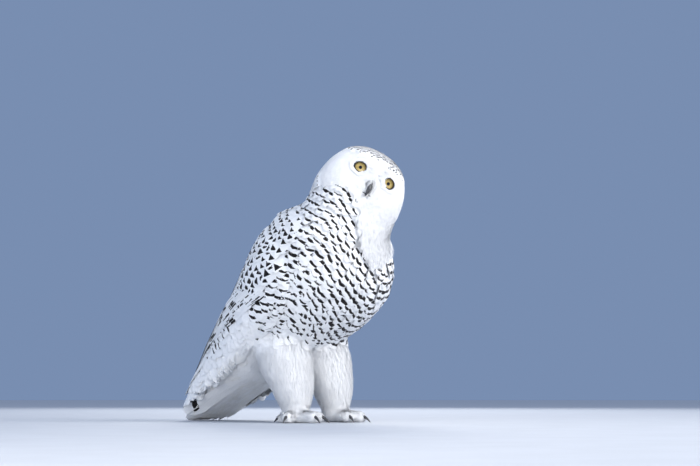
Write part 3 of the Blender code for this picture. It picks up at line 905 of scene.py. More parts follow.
# These tables hold distances along the spine, and the coverts' length, width, spot depth and the share
# of them that is spotted there.
COVERT_LENGTHS = ((0.05, 0.028), (0.15, 0.038), (0.30, 0.052))
COVERT_WIDTHS = ((0.05, 0.0150), (0.15, 0.0180), (0.30, 0.0185))
SPOT_DEPTHS = ((0.05, 0.0056), (0.12, 0.0080), (0.22, 0.0088), (0.3, 0.0060))
SPOTTED = ((0.05, 0.97), (0.18, 0.93), (0.24, 0.72), (0.31, 0.40))


def wing_place(word, side, along, share):
    return on_body(along, around(side, wing_turn(word, along, share)))


def covert_roots(word, side):
    """Rows of roots over the wing: place, flow, distance along the spine, share of the breadth."""
    found = []
    for i, along in enumerate(np.arange(COVERTS_FROM, COVERTS_TO, COVERT_STEP)):
        breadth = math.radians(wing_turn(word, along, 0) - wing_turn(word, along, 1)) * WING_RADIUS
        count = max(int(breadth / COVERT_ACROSS), 2)
        for k in range(count + 1):
            share = (k + 0.5 * (i % 2)) / count + rng.normal(0, 0.014)
            at = along + rng.normal(0, 0.0013) + COVERT_SLOPE * share
            if not 0.0 < share < 0.985:
                continue
            place = wing_place(word, side, at, share)[0]
            flow = wing_place(word, side, at + 0.012, share * 0.97)[0] - place
            found.append((*place, *flow, at, share))
    return np.array(found)


def spots(length, deep, gap, spacing, near, far):
    """Band edges and middles for a spot this deep whose near and far edges are this wide."""
    end = 1 - gap / length
    start = end - deep / length
    bars = np.column_stack([start - spacing / length, end - spacing / length, start, end])
    return np.clip(bars, 0.05, 0.97), np.column_stack([near, far, near, far])


for word, side in WING_SIDES:
    roots = covert_roots(word, side)
    along, share = roots[:, 6], roots[:, 7]
    count = len(roots)
    length = steps(along, *COVERT_LENGTHS) * rng.normal(1, 0.05, count)
    width = steps(along, *COVERT_WIDTHS) * rng.normal(1, 0.06, count)
    mantle = share < MANTLE
    deep = steps(along, *SPOT_DEPTHS) * rng.uniform(0.7, 1.2, count)
    deep = np.where(mantle, deep * 0.72, deep)
    near, far = rng.uniform(0.60, 0.95, count), rng.uniform(0.06, 0.35, count)
    far = np.where(mantle, rng.uniform(0.50, 0.9, count), far)
    bars, inner = spots(length, deep, rng.uniform(0.002, 0.005, count), SPOTS_APART, near, far)
    dark = rng.random(count) < steps(along, *SPOTTED)
    marks = np.column_stack([dark & (rng.random(count) < 0.35 + 0.5 * mantle), dark]).astype(float)
    coat = Coat()
    vanes(coat, roots[:, :3], roots[:, 3:6], length, width, bars=bars, inner=inner, marks=marks, pinch=0.15,
          sink=0.004, lift=0.0024, arc=0.42, tip=0.35, roll=0.03, fringe=0.0022)
    coat.build("coverts_" + word, white_feather)

# ---------------------------------------------------------------- flight feathers
# Primaries, secondaries and tertials are long stiff blades with a shaft, folded like a fan along the
# wing: the primaries' edges lie along the wing's lower border and run on to its tip.
BLADE_ROWS = 34
BLADE_COLUMNS = np.array([-1, -0.62, -0.30, -0.07, 0.07, 0.5, 1.0])
STRIPS = len(BLADE_COLUMNS) - 1
SHAFT_RISE = 0.0003
BLADE_MAP = (0.6, 0.4)       # a long feather's stretch of the vane's map: its length there, and its start


def blade(coat, route, width, lift, marks, tip=0.25, cup=0.06, ragged=0.0011):
    """One long feather along a route of (place, normal). marks is a row by column table of dark faces."""
    places = np.array([place for place, _ in route])
    normals = unit(np.array([normal for _, normal in route]))
    headings = unit(np.gradient(places, axis=0))
    normals = unit(normals - headings * (normals * headings).sum(1, keepdims=True))
    sides = np.cross(headings, normals)
    shares = np.linspace(0, 1, len(route))
    fall = np.clip((shares - 0.86) / 0.14, 0, 1)
    half = np.clip(0.35 + 2.4 * shares, 0, 1) * (1 - (1 - tip) * fall ** 2.4) * width / 2
    off = BLADE_COLUMNS[None] * half[:, None]
    up = lift - cup * off ** 2 / np.maximum(half, 1e-6)[:, None]
    up[:, 3:5] += SHAFT_RISE
    slide = -0.5 * BLADE_COLUMNS[None] ** 2 * half[:, None] * (0.3 + 0.7 * shares[:, None])
    points = (places[:, None] + sides[:, None] * off[..., None] + normals[:, None] * up[..., None]
              + headings[:, None] * slide[..., None])
    rows = len(route)
    first = coat.add_points(points)
    corner = (first + np.arange(points.size // 3)).reshape(1, rows, -1)
    coat.quads.append(quads_between(corner).reshape(-1, 4))
    where = unwrapped(places[:-1])
    tone = np.full(len(where) * STRIPS, rng.random())
    coat.quad_facts.append(np.column_stack([where.repeat(STRIPS, 0), marks.reshape(-1), tone]))
    across, along = np.meshgrid((BLADE_COLUMNS + 1) / 2, shares * BLADE_MAP[0] + BLADE_MAP[1])
    vane = np.stack([across, along], -1)
    coat.quad_vanes.append(quads_between(vane[None]).reshape(-1, 4, 2))
    ragged_edge(coat, points, headings, sides, where, tone[0], ragged)


def ragged_edge(coat, points, headings, sides, where, tone, reach):
    """Small gaps and loose barbs along both edges and the end of a long feather."""
    bases = []
    for k in range(4, len(points) - 1):
        for column, sign in ((0, -1), (STRIPS, 1)):
            aim = headings[k] + sides[k] * sign * 0.35
            bases.append((points[k, column], points[k + 1, column], aim, where[k]))
    for column in range(STRIPS):
        aim = headings[-1] + sides[-1] * (column - STRIPS / 2) * 0.2
        bases.append((points[-1, column], points[-1, column + 1], aim, where[-1]))
    low, high, aim, spot = (np.array([base[i] for base in bases]) for i in range(4))
    far = (low + high) / 2 + unit(aim) * reach * (0.7 + 1.2 * rng.random((len(low), 1)))
    first = coat.add_points(np.stack([low, high, far], 1))
    coat.tris.append(first + np.arange(len(low) * 3).reshape(-1, 3))
    coat.tri_facts.append(np.column_stack([spot, np.zeros(len(low)), np.full(len(low), tone)]))
    coat.tri_vanes.append(np.tile([(0.45, 0.9), (0.55, 0.9), (0.5, 1.0)], (len(low), 1, 1)))


def streaks_along(deep, gap):
    """A flight feather's dark streaks: runs of uneven length, longest on its outer edge."""
    marks = np.zeros((BLADE_ROWS - 1, STRIPS))
    row = rng.integers(1, gap + 1)
    while row < BLADE_ROWS - 4:
        run = deep + rng.integers(0, 3)
        marks[row:row + run, 0] = 1
        marks[row:row + max(run - 1, 1), 1] = 1
        marks[row + 1:row + run, 2] = rng.random() < 0.6
        row += run + rng.integers(gap - 2, gap + 3)
    return marks


BAR_SLOPE = (1, 1, 0, 0, 1, 1)     # how many rows later a bar crosses each strip than the shaft


def bars_across(spacing):
    """An inner flight feather's dark bars, which slope back from its shaft and are broken in places."""
    marks = np.zeros((BLADE_ROWS - 1, STRIPS))
    row = rng.integers(3, 3 + spacing)
    while row < BLADE_ROWS - 5:
        for column, later in enumerate(BAR_SLOPE):
            marks[row + later, column] = rng.random() < 0.92
        row += spacing + rng.integers(0, 2)
    return marks


def wing_route(word, side, start, end):
    """A route over the wing from one (distance along the spine, share of the breadth) to another."""
    return [wing_place(word, side, start[0] + (end[0] - start[0]) * t, start[1] + (end[1] - start[1]) * t)
            for t in np.linspace(0, 1, BLADE_ROWS)]


PRIMARIES, SECONDARIES, TERTIALS = 9, 9, 5
PRIMARY_WIDTH, SECONDARY_WIDTH, TERTIAL_WIDTH = 0.0125, 0.019, 0.022
for word, side in WING_SIDES:
    coat = Coat()
    wing_tip = edges[word][-1, 0]
    for k in range(PRIMARIES):
        share = k / (PRIMARIES - 1)
        start = (0.175 + 0.045 * share, 1.00 - 0.22 * share)
        end = (wing_tip - 0.004 - 0.075 * share ** 1.2, 1.00 - 0.42 * share)
        marks = streaks_along(2, 6)
        marks = marks if side < 0 else marks[:, ::-1]
        if k % 2 == 0:
            marks[4:-4, 3] = 1
        blade(coat, wing_route(word, side, start, end), PRIMARY_WIDTH, 0.0002 + 0.0006 * k, marks)
    for k in range(SECONDARIES):
        share = k / (SECONDARIES - 1)
        start = (0.200 + 0.02 * share, 0.88 - 0.60 * share)
        end = (0.320 + 0.040 * share, 0.92 - 0.62 * share)
        route = wing_route(word, side, start, end)
        blade(coat, route, SECONDARY_WIDTH, 0.0012 + 0.0003 * k, bars_across(4), tip=0.4)
    for k in range(TERTIALS):
        share = k / (TERTIALS - 1)
        start, end = (0.215, 0.34 - 0.30 * share), (0.366 + 0.020 * share, 0.34 - 0.28 * share)
        route = wing_route(word, side, start, end)
        blade(coat, route, TERTIAL_WIDTH, 0.0022 + 0.0002 * k, bars_across(4), tip=0.45)
    coat.build("flight_" + word, white_feather)

# ---------------------------------------------------------------- tail and its coverts
# Twelve broad white tail feathers lie closed over one another, the middle pair on top, and long soft
# coverts sheathe their roots above and below. A few broken bars cross the upper side, and the outer
# pairs have a dark mark near their tips.
TAIL_PAIRS, TAIL_WIDTH = 6, 0.026
TAIL_FROM, TAIL_ROOT = 0.285, 0.355          # where along the spine the coverts and the feathers start
TAIL_EVEN = 0.475                            # past this the tail's breadth is taken as even
TAIL_BARS, TAIL_BAR_ROWS = 11, 8             # the first bar's row, and the rows from bar to bar


def on_tail(along, across, above):
    """The tail's upper or lower surface, this far across it from its middle: place, normal."""
    point, tangent = spine_place(along)
    back = Vector((0, -tangent.z, tangent.y)) * (1 if above else -1)
    place, normal, _, _ = form.ray_cast(point + Vector((across, 0, 0)) + back * 0.12, -back)
    return (place, normal) if place else (point + Vector((across, 0, 0)), back)


def tail_half(along):
    """Half of the tail's breadth here."""
    return abs(on_body(along, 0)[0].x - on_body(along, 180)[0].x) / 2


def tail_bars(start):
    """A tail feather's dark bars: one row deep and stepped, with some left out."""
    marks = np.zeros((BLADE_ROWS - 1, STRIPS))
    for row in range(start, BLADE_ROWS - 2, TAIL_BAR_ROWS):
        if rng.random() < 0.6:
            for step, column in enumerate((1, 2, 3, 4)):
                marks[row + step % 2, column] = 1
    return marks


def evened(route, reach=7):
    """The same route with each place and normal averaged over its neighbours, so that it lies straight."""
    table = np.array([(*place, *normal) for place, normal in route])
    padded = np.pad(table, ((reach, reach), (0, 0)), mode="reflect", reflect_type="odd")
    table = np.array([padded[i:i + 2 * reach + 1].mean(0) for i in range(len(table))])
    return [(row[:3], row[3:]) for row in table]


coat = Coat()
for above in (True, False):
    for k in range(TAIL_PAIRS):
        pair = (TAIL_PAIRS - 1 - k) if above else k
        out = (pair + 0.5) / TAIL_PAIRS
        for side in (-1, 1):
            end = spine_at[-1] - 0.002 - 0.034 * out ** 2
            route = []
            for t in np.linspace(0, 1, BLADE_ROWS):
                along = TAIL_ROOT + (end - TAIL_ROOT) * t
                across = side * out * max(tail_half(min(along, TAIL_EVEN)), 0.03) * (0.55 + 0.30 * t)
                route.append(on_tail(along, across, above))
            marks = tail_bars(TAIL_BARS + k % 2) if above else np.zeros((BLADE_ROWS - 1, STRIPS))
            if pair > 3:
                marks[-8:-5, [-1, -2] if side < 0 else [0, 1]] = 1
            lift = 0.0005 * k - 0.0026 * above
            blade(coat, evened(route), TAIL_WIDTH, lift, marks, tip=0.5, ragged=0.0006)
coat.build("tail_feathers", cream_feather)

found = []
for above in (True, False):
    for i, along in enumerate(np.arange(TAIL_FROM, 0.425 if above else 0.440, 0.0125)):
        half = tail_half(along)
        count = max(int(2 * half / 0.0105), 2)
        for k in range(count + 1):
            across = -half + 2 * half * (k + 0.5 * (i % 2)) / count + rng.normal(0, 0.0005)
            if abs(across) < half * 0.97:
                place = on_tail(along, across, above)[0]
                flow = on_tail(along + 0.015, across * 0.96, above)[0] - place
                found.append((*place, *flow, along, above))
found = np.array(found)
found = found[lie_flat(found[:, :3], found[:, 3:6], 0.045) & ~inside_wing(found[:, :3], -0.05, -3)]
coat = Coat()
count = len(found)
length = steps(found[:, 6], (0.28, 0.045), (0.34, 0.058), (0.44, 0.060)) * rng.normal(1, 0.05, count)
dark = (found[:, 7] > 0.5) & (rng.random(count) < 0.35)
bars, inner = spots(length, np.full(count, 0.004), 0.006, 0.02, np.full(count, 0.5), np.full(count, 0.7))
vanes(coat, found[:, :3], found[:, 3:6], length, 0.0185, bars=bars, inner=inner, sink=0.004, lift=0.0024,
      marks=np.column_stack([dark * 0, dark]).astype(float), arc=0.5, tip=0.5, fringe=0.0042)
coat.build("tail_coverts", cream_feather)

# ---------------------------------------------------------------- legs and feet
# The legs wear long fluffy white down, and the toes are feathered to the claws.
DOWN_LENGTHS = ((0.02, 0.014), (0.05, 0.024), (0.11, 0.034))     # height, the down's length
LEG_AXES = {word: centre_of("leg_" + word) for word, _ in WING_SIDES}
FOOT_AXES = {word: centre_of("foot_" + word) for word, _ in WING_SIDES}
foot_trees = {word: tree_of(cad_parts["foot_" + word]) for word, _ in WING_SIDES}


def neighbours(cell):
    """This cell of a grid and the ones that touch it."""
    near = (-1, 0, 1)
    return [(cell[0] + a, cell[1] + b, cell[2] + c) for a in near for b in near for c in near]


def skin_roots(near, spacing, limit, lowest, highest):
    """Evenly scattered places on the form, between two heights, over the skin that lies near this solid."""
    kept, cells = [], {}
    for i in rng.permutation(len(skin.data.polygons)):
        place = skin.data.polygons[i].center
        if not lowest < place.z < highest or near.find_nearest(place)[3] > limit:
            continue
        spot = form.find_nearest(place)[0]
        cell = tuple(int(math.floor(c / spacing)) for c in spot)
        close = [cells[c] for c in neighbours(cell) if c in cells]
        if all((spot - other).length > spacing for group in close for other in group):
            cells.setdefault(cell, []).append(spot)
            kept.append(spot)
    return np.array(kept)


for word, _ in WING_SIDES:
    coat = Coat()
    places = skin_roots(leg_trees[word], 0.0036, 0.011, 0.016, 0.125)
    flows = np.tile([0, 0.1, -1.0], (len(places), 1))
    flows[:, :2] += (places[:, :2] - np.array(LEG_AXES[word])[:2]) * 5
    length = steps(places[:, 2], *DOWN_LENGTHS) * rng.normal(1, 0.12, len(places))
    locks(coat, places, flows, length, 0.0080, strands=6, sink=0.005, lift=0.0020, thick=0.13, wave=0.28)
    locks(coat, places[::2], flows[::2], length[::2] * 0.9, 0.0100, strands=5, sink=0.006,
          lift=-0.0008, thick=0.30)
    coat.build("trousers_" + word, white_feather)
    coat = Coat()
    places = skin_roots(foot_trees[word], 0.0026, 0.006, 0.002, 0.024)
    flows = places - np.array(FOOT_AXES[word])
    flows[:, 2] = -0.004
    locks(coat, places, flows, 0.0095, 0.0040, strands=5, sink=0.0018, lift=0.0010, thick=0.24, wave=0.12)
    coat.build("toe_feathers_" + word, white_feather)

# ---------------------------------------------------------------- head
# Short dense feathers spread from the bill and round each eye over the face, and back over the crown
# and nape. Face, cheeks and throat are pure white, and the crown is closely spotted with black.
HEAD_ROOTS = 9600
HEAD_REACH = 0.088
HEAD_FOOT = -0.062           # below this height in the head its feathers stop sooner
EYE_CLEAR = 1.06             # no feather is rooted nearer to the eye, in half breadths of its opening
BILL_CLEAR = (0.0026, 0.010, 0.013)      # nor this near to the bill: across, behind, above or below
# Longest feathers by height in the head, by half breadths from the eye and by distance from the bill.
HEAD_LENGTHS = ((-0.06, 0.022), (0.0, 0.0160), (0.05, 0.0125))
LENGTHS_BY_EYE = ((1.1, 0.0050), (1.9, 0.0085), (3.2, 0.0150))
LENGTHS_BY_BILL = ((0.006, 0.0060), (0.05, 0.022))
HEAD_WIDTHS = ((0.005, 0.0030), (0.012, 0.0050), (0.022, 0.0075))          # length, width
CROWN_EDGE = ((0, 0.0045), (45, 0.002), (90, -0.003))      # degrees from the face, how much lower it lies
CROWN_SPOTTED = ((0.026, 0.0), (0.031, 0.28), (0.037, 0.80), (0.045, 0.97))     # height, share spotted
SPOT_SIZES = ((0.026, 0.55), (0.036, 1.0), (0.048, 2.1))                        # height, size of a spot
SPOT_GAPS = ((0.034, 0.0010), (0.046, 0.0002))                 # height, the white below a spot
OPENING = (0.0096, 0.0080)   # the eye's opening between the lids: half its breadth, half its height
GOLDEN = math.pi * (3 - math.sqrt(5))
EYE_SPLAY = math.radians(9)
SIDES_OF_HEAD = (("right", 1), ("left", -1))
eye_frames = {}
for word, out in SIDES_OF_HEAD:
    ahead = (head_face * math.cos(EYE_SPLAY) + head_right * out * math.sin(EYE_SPLAY)).normalized()
    eye_across = (ahead * head_right.dot(ahead) - head_right).normalized()
    eye_frames[word] = np.array([eye_across, ahead.cross(eye_across), ahead])


def from_eye(place, word):
    """How far from this eye's line of sight a place lies, in half breadths of its opening."""
    at = eye_frames[word] @ np.array(place - eye_places[word])
    return math.hypot(at[0] / OPENING[0], at[1] / OPENING[1]) if at[2] > -0.004 else 9.0


def head_flow(place, normal, at):
    """The lie of a head feather: away from the bill, round the eyes, and down over the nape."""
    flow = (place - bill_place - head_up * 0.004).normalized()
    for word, _ in SIDES_OF_HEAD:
        near = math.exp(-(from_eye(place, word) / 1.75) ** 2)
        flow = flow * (1 - near) + (place - eye_places[word]).normalized() * near
    behind, low = clamped((0.010 - at[1]) / 0.05), clamped((-0.015 - at[2]) / 0.03)
    flow = flow + spine_place(0.02)[1] * (behind * 1.5 + low * 0.7)
    flow = flow - normal * flow.dot(normal)
    return flow.normalized()


found = []
for i in range(HEAD_ROOTS):
    height = 1 - 2 * (i + 0.5) / HEAD_ROOTS
    ring = math.sqrt(1 - height * height)
    direction = Vector((ring * math.cos(GOLDEN * i), ring * math.sin(GOLDEN * i), height))
    direction = (direction + Vector(rng.normal(0, 0.008, 3))).normalized()
    place, normal, _, _ = form.ray_cast(head_middle + direction * 0.2, -direction)
    if place is None or (place - head_middle).length > HEAD_REACH:
        continue
    eye = min(from_eye(place, word) for word, _ in SIDES_OF_HEAD)
    from_bill = HEAD_AXES @ np.array(place - bill_place)
    in_bill = abs(from_bill[0]) < BILL_CLEAR[0] and abs(from_bill[2]) < BILL_CLEAR[2]
    if eye < EYE_CLEAR or in_bill and from_bill[1] > -BILL_CLEAR[1]:
        continue
    at = HEAD_AXES @ np.array(place - head_middle)
    found.append((*place, *head_flow(place, normal, at), *at, eye, np.linalg.norm(from_bill)))
found = np.array(found)
places, flows = found[:, :3], found[:, 3:6]
rightwards, forwards, upwards, eye, from_bill = found[:, 6:].T
count = len(found)
length = steps(upwards, *HEAD_LENGTHS)
length = np.where(forwards > 0.015, np.minimum(length, steps(eye, *LENGTHS_BY_EYE)), length)
length = np.minimum(length, steps(from_bill, *LENGTHS_BY_BILL)) * rng.normal(1, 0.08, count)
width = steps(length, *HEAD_WIDTHS)
tips = places + flows * (length * 0.9)[:, None]
above = above_collar(tips)
keep = (above > -0.003) & (upwards > HEAD_FOOT) | (above > 0.002) & (upwards < HEAD_FOOT)
face = keep & (forwards > 0.012)
crown = keep & ~face & (upwards > 0.012)
nape = keep & ~face & ~crown
brow = face & (upwards > EYE_ABOVE + 0.005)
face &= ~brow
right_side = rightwards > 0

# The crown's spots are biggest and closest on its top. A few flecks lie low on the head's right side.
round_head = np.degrees(np.arctan2(rightwards, forwards))
crown_height = upwards + steps(np.abs(round_head), *CROWN_EDGE)
chance = steps(crown_height, *CROWN_SPOTTED)
chance += (abs(upwards + 0.028) < 0.007) * (abs(round_head - 72) < 7) * 0.10
spotted = keep & (rng.random(count) < chance)
for name, chosen in (("coat_face", face), ("coat_nape", nape), ("coat_brow_right", brow & right_side),
                     ("coat_brow_left", brow & ~right_side), ("coat_crown_right", crown & right_side),
                     ("coat_crown_left", crown & ~right_side)):
    coat = Coat()
    under = chosen & (np.arange(count) % 2 == 0)
    locks(coat, places[under], flows[under], length[under], width[under] * 1.6, strands=4, sink=0.0022,
          lift=0.0003, thick=0.44, wave=0.05)
    locks(coat, places[chosen], flows[chosen], length[chosen], width[chosen], strands=6, sink=0.0022,
          lift=0.0006, thick=0.13, wave=0.12)
    dotted = chosen & spotted
    number = dotted.sum()
    reach = np.clip(length[dotted] * 0.85, 0.008, 0.016)
    bold = steps(crown_height[dotted], *SPOT_SIZES)
    deep = 0.0034 * bold * rng.uniform(0.8, 1.2, number)
    near = np.minimum(rng.uniform(0.65, 0.9, number) * bold, 1)
    far = np.minimum(rng.uniform(0.65, 0.95, number) * bold, 1)
    bars, inner = spots(reach, deep, steps(crown_height[dotted], *SPOT_GAPS), 0.0046, near, far)
    marks = np.tile([0.0, 1.0], (number, 1))
    vanes(coat, places[dotted], flows[dotted], reach, reach * 0.56, bars=bars, inner=inner, marks=marks,
          sink=0.0026, lift=0.0020, fringe=0.0006, roll=0.08, pinch=0.4)
    coat.build(name, white_feather)

# ---------------------------------------------------------------- eyes
# Each eye is a glossy ball with a bulging cornea, a golden iris and a black pupil, deep between dark
# rimmed lids.
EYE_RADIUS = 0.0143
PUPIL, IRIS = 0.0025, 0.0092
CORNEA_RISE, CORNEA_EDGE = 0.0016, 0.0102     # how far the cornea bulges, and the radius of its edge
IRIS_MAP = 10                                 # the iris map is a tenth of a metre wide
GOLD, PALE_GOLD = (0.47, 0.33, 0.085), (0.60, 0.46, 0.17)
IRIS_RIM, IRIS_CORE = (0.16, 0.10, 0.03), (0.22, 0.14, 0.035)
PUPIL_BLACK, RIM_BLACK = (0.002, 0.002, 0.003), (0.006, 0.005, 0.005)


def eye_matrix(word):
    """Turns a piece made round the origin and facing +Z to this eye's place and line of sight."""
    turned = Matrix(eye_frames[word].T).to_4x4()
    return Matrix.Translation(eye_places[word]) @ turned


def placed(obj, matrix):
    """Moves the object's own mesh, so that it stays at the origin."""
    obj.data.transform(matrix)
    obj.data.update()
    return obj


eye_finish = Finish("golden_eye", Roughness=0.12, Coat_Weight=1.0, Coat_Roughness=0.02,
                    Specular_IOR_Level=0.5)
flat = eye_finish.node("ShaderNodeUVMap", {"uv_map": "iris"}, {})
centred = eye_finish.node("ShaderNodeVectorMath", {"operation": "SUBTRACT"}, {0: flat, 1: (0.5, 0.5, 0)})
radius = eye_finish.node("ShaderNodeVectorMath", {"operation": "LENGTH"}, {0: centred}, "Value")
radius = radius * (1 / IRIS_MAP)
ray = eye_finish.node("ShaderNodeVectorMath", {"operation": "NORMALIZE"}, {0: centred})
fibres = eye_finish.noise(11, 5, at=ray)
iris = eye_finish.mix(fibres.ramp(0.35, 0.65), GOLD, PALE_GOLD)
iris = eye_finish.mix(radius.ramp(IRIS * 0.70, IRIS * 0.97) * 0.75, iris, IRIS_RIM)
iris = eye_finish.mix((1 - radius.ramp(PUPIL, PUPIL * 1.35)) * 0.6, iris, IRIS_CORE)
shown = eye_finish.mix(radius.ramp(PUPIL * 0.96, PUPIL * 1.04), PUPIL_BLACK, iris)
shown = eye_finish.mix(radius.ramp(IRIS * 0.97, IRIS * 1.03), shown, RIM_BLACK)
shown = eye_finish.mix(radius.ramp(0.0105, 0.0110), shown, SHADED_WHITE)
eye_finish.show(Base_Color=shown)
for word, _ in SIDES_OF_HEAD:
    bpy.ops.object.select_all(action="DESELECT")
    bpy.ops.mesh.primitive_uv_sphere_add(segments=64, ring_count=48, radius=EYE_RADIUS)
    ball = bpy.context.object
    ball.name = "eyeball_" + word
    iris_map = ball.data.uv_layers[0]
    iris_map.name = "iris"
    for vertex in ball.data.vertices:
        out = math.hypot(vertex.co.x, vertex.co.y) / CORNEA_EDGE
        if vertex.co.z > 0 and out < 1:
            vertex.co.z = math.sqrt(EYE_RADIUS ** 2 - CORNEA_EDGE ** 2) + CORNEA_RISE * (1 - out ** 2)
    for loop in ball.data.loops:
        point = ball.data.vertices[loop.vertex_index].co
        iris_map.data[loop.index].uv = (point.x * IRIS_MAP + 0.5, point.y * IRIS_MAP + 0.5)
    placed(ball, eye_matrix(word))
    ball.data.shade_smooth()
    ball.data.materials.clear()
    ball.data.materials.append(eye_finish.material)
    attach(ball, "root")
    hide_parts("eye_" + word)

# The lids are a thin fold of skin round the opening that lies on the ball, black and naked at the rim.
LID_RADIUS, LID_THICK = 0.0150, 0.0009
LID_TURNS, LID_STRIPS = 56, 10
LID_INSET, LID_SPREAD = 0.13, 0.36       # how far inside the opening the lids start, and how broad they are
RIM_SWELL, LID_FALL = 0.0008, 0.0030     # how far the rim stands out, and how the lids fall away from it
LID_BLACK = (0.010, 0.009, 0.010)
lid_finish = Finish("lid", Roughness=0.45)
rim = lid_finish.attribute("rim")
grain = lid_finish.noise(700, 3)
lid_colour = lid_finish.mix(rim.ramp(0.52, 0.64), LID_BLACK, SHADED_WHITE)
lid_finish.show(Base_Color=lid_colour, Normal=lid_finish.bump(grain, 0.4, 0.0003),
                Roughness=rim.ramp(0.52, 0.64) * 0.35 + 0.5)
for word, _ in SIDES_OF_HEAD:
    bpy.ops.object.select_all(action="DESELECT")
    bpy.ops.mesh.primitive_grid_add(x_subdivisions=LID_TURNS, y_subdivisions=LID_STRIPS, size=2)
    lid = bpy.context.object
    lid.name = "lids_" + word
    layer = lid.data.attributes.new("rim", "FLOAT", "POINT")
    for vertex in lid.data.vertices:
        turn, share = vertex.co.x * math.pi, (vertex.co.y + 1) / 2
        wide = 1 - LID_INSET + LID_SPREAD * share
        across, high = OPENING[0] * wide * math.cos(turn), OPENING[1] * wide * math.sin(turn)
        swell = LID_RADIUS + RIM_SWELL * math.exp(-((share - 0.15) / 0.16) ** 2)
        swell = swell - LID_FALL * max(share - 0.25, 0)
        layer.data[vertex.index].value = share
        vertex.co = (across, high, math.sqrt(swell ** 2 - across ** 2 - high ** 2))
    bpy.ops.object.mode_set(mode="EDIT")
    bpy.ops.mesh.select_all(action="SELECT")
    bpy.ops.mesh.remove_doubles(threshold=0.00002)
    bpy.ops.mesh.normals_make_consistent(inside=False)
    bpy.ops.object.mode_set(mode="OBJECT")
    modified(lid, "SOLIDIFY", thickness=LID_THICK, offset=0)
    modified(lid, "SUBSURF", levels=1, render_levels=1)
    placed(lid, eye_matrix(word))
    lid.data.shade_smooth()
    lid.data.materials.append(lid_finish.material)
    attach(lid, "root")

# Short feathers stand close round each eye and hide the lids' outer edge.
ROUND_EYE, EYE_RIDGE = 190, 150
RIDGE_LIFT = {"right": 0.0020, "left": 0.0034}
coat = Coat()
for word, _ in SIDES_OF_HEAD:
    turns = np.arange(ROUND_EYE) * GOLDEN
    wide = rng.uniform(1.06, 1.30, ROUND_EYE)
    across, high = OPENING[0] * wide * np.cos(turns), OPENING[1] * wide * np.sin(turns)
    flat = np.column_stack([across, high, np.sqrt(LID_RADIUS ** 2 - across ** 2 - high ** 2)])
    places = flat @ eye_frames[word] + np.array(eye_places[word])
    flows = np.column_stack([across, high, 0 * high]) @ eye_frames[word]
    places = np.array([form.find_nearest(Vector(place))[0] for place in places])
    locks(coat, places, flows, rng.uniform(0.0045, 0.0065, ROUND_EYE), 0.0030, strands=5, sink=0.0002,
          lift=0.0010, thick=0.20)

# A ridge of soft feathers beside the bill leans out over each eye's inner corner.
for word, out in SIDES_OF_HEAD:
    turns = rng.uniform(-1.1, 1.1, EYE_RIDGE)
    wide = rng.uniform(1.45, 2.6, EYE_RIDGE)
    across, high = OPENING[0] * wide * np.cos(turns) * out, OPENING[1] * wide * np.sin(turns)
    flat = np.column_stack([across, high, np.full(EYE_RIDGE, EYE_RADIUS * 0.6)])
    places = flat @ eye_frames[word] + np.array(eye_places[word])
    places = np.array([form.find_nearest(Vector(place))[0] for place in places])
    flows = np.column_stack([-across, -high, 0 * high]) @ eye_frames[word]
    locks(coat, places, flows, np.minimum(wide - 1.04, 0.9) * OPENING[0], 0.0030, strands=5, sink=0.0032,
          lift=RIDGE_LIFT[word], thick=0.16, wave=0.12)
coat.build("coat_round_eyes", white_feather)

# ---------------------------------------------------------------- bill, its bristles, and claws
# Horn, slate black and smooth: a short hooked bill sunk in bristles, and eight curved claws. Stiff
# white bristles grow from the bill's base and cover its sides, and short dark ones line its gape.
BRISTLES, GAPE_BRISTLES = 260, 26
BRISTLE_WIDTH, GAPE_WIDTH, GAPE_LENGTH = 0.0007, 0.0006, 0.0040
HORN_DARK, HORN_PALE = (0.018, 0.019, 0.022), (0.070, 0.072, 0.080)
horn = Finish("black_horn", Roughness=0.3, Coat_Weight=0.25, Coat_Roughness=0.25)
streaks = horn.noise(240, 4)
horn.show(Base_Color=horn.mix(streaks.ramp(0.3, 0.75), HORN_DARK, HORN_PALE),
          Normal=horn.bump(streaks, 0.25, 0.0003), Roughness=streaks * 0.25 + 0.22)
CLAWS = [f"claw_{toe}_{word}" for toe in ("inner", "middle", "outer", "hind") for word, _ in WING_SIDES]
for node in ("bill_upper", "bill_lower", *CLAWS):
    piece = joined_copy([node], "smooth_" + node)
    modified(piece, "SUBSURF", levels=2, render_levels=2)
    piece.data.shade_smooth()
    piece.data.materials.clear()
    piece.data.materials.append(horn.material)
    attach(piece, "root")
    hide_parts(node)


def bristle(coat, line, width, mark):
    """One stiff curved bristle: a thin tapering strip along these four points."""
    across = unit(np.cross(line[-1] - line[0], np.array(head_face))) * width / 2
    half = np.array([0.8, 1.0, 0.7])[:, None]
    points = np.concatenate([line[:3] - across * half, line[:3] + across * half, line[3:]])
    first = coat.add_points(points)
    coat.quads.append(first + np.array([(0, 1, 4, 3), (1, 2, 5, 4)]))
    coat.tris.append(first + np.array([(2, 6, 5)]))
    facts = np.array([(*unwrapped(line[:1])[0], mark, rng.random())])
    coat.quad_facts.append(facts.repeat(2, 0))
    coat.tri_facts.append(facts)
    coat.quad_vanes.append(np.tile([(0.3, 0.4), (0.3, 0.7), (0.7, 0.7), (0.7, 0.4)], (2, 1, 1)))
    coat.tri_vanes.append(np.tile([(0.3, 0.7), (0.5, 1.0), (0.7, 0.7)], (1, 1, 1)))


def from_bill_middle(across, ahead, above):
    """A place beside the bill: this far outwards, forwards and upwards of its middle."""
    return np.array(bill_place) + HEAD_AXES.T @ np.array([across, ahead, above])


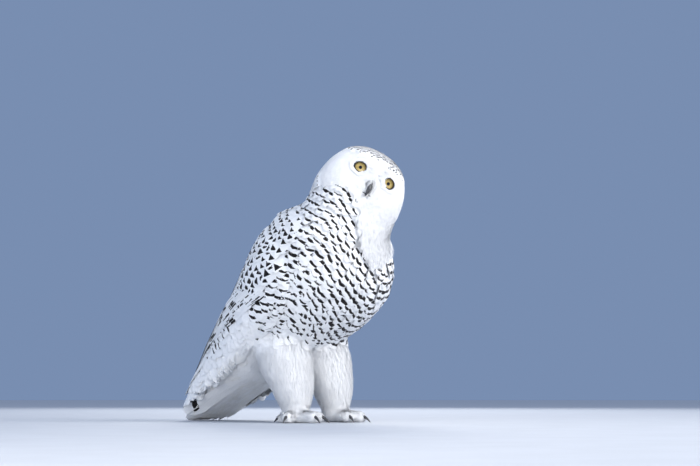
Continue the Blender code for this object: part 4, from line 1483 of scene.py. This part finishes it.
coat = Coat()
for i in range(BRISTLES):
    for _, out in SIDES_OF_HEAD:
        share = (i + rng.random()) / BRISTLES
        start, drop = 0.017 - 0.026 * share, 0.006 + 0.007 * rng.random()
        wide, end = 0.0050 + 0.0036 * rng.random(), 0.0024 + 0.0026 * rng.random()
        if start > 0.011:
            wide *= rng.random()
            end = min(end, wide + 0.001)
        front = 0.0075 + 0.0035 * (1 - share)
        line = np.array([from_bill_middle(out * wide, -0.013, start + 0.003),
                         from_bill_middle(out * (wide + 0.0012), -0.002, start - drop * 0.2),
                         from_bill_middle(out * (wide + end) / 2, front * 0.75, start - drop * 0.6),
                         from_bill_middle(out * end, front, start - drop)])
        bristle(coat, line + rng.normal(0, 0.0004, (4, 3)), BRISTLE_WIDTH, 0)
for i in range(GAPE_BRISTLES):
    for _, out in SIDES_OF_HEAD:
        share = rng.random() * (1.0 if out < 0 else 0.45)
        base = from_bill_middle(out * (0.0020 + 0.0110 * share), 0.0095 - 0.0085 * share,
                                -0.0118 + 0.0035 * share)
        aim = HEAD_AXES.T @ np.array([out * 0.8, -0.45, 0.15])
        line = base + aim * (np.array([0, 0.3, 0.7, 1.0]) * GAPE_LENGTH)[:, None]
        bristle(coat, line + rng.normal(0, 0.0003, 3), GAPE_WIDTH, 1)
coat.build("bill_bristles", white_feather)

# ---------------------------------------------------------------- the skin's own finish
# Down-covered skin, white, and darker under the plumage's bars and spots as the feathers' roots are.
MARK_REACH = 0.0024
marked = np.concatenate(dark_places)
near_dark = kdtree.KDTree(len(marked))
for i, place in enumerate(marked):
    near_dark.insert(place, i)
near_dark.balance()
layer = skin.data.attributes.new("mark", "FLOAT", "POINT")
for vertex in skin.data.vertices:
    surface = form.find_nearest(vertex.co)[0]
    layer.data[vertex.index].value = float(near_dark.find(surface)[2] < MARK_REACH)
skin_finish = Finish("down", Roughness=0.9)
down = skin_finish.noise(160, 4)
skin_colour = skin_finish.mix(down.ramp(0.3, 0.7), SHADED_WHITE, WHITE)
skin_colour = skin_finish.mix(skin_finish.attribute("mark") * 0.92, skin_colour, BAR_BROWN)
skin.data.materials.clear()
skin_finish.show(Base_Color=skin_colour, Normal=skin_finish.bump(down, 0.5, 0.001))
skin.data.materials.append(skin_finish.material)
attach(skin, "root")
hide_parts(*FLESH)
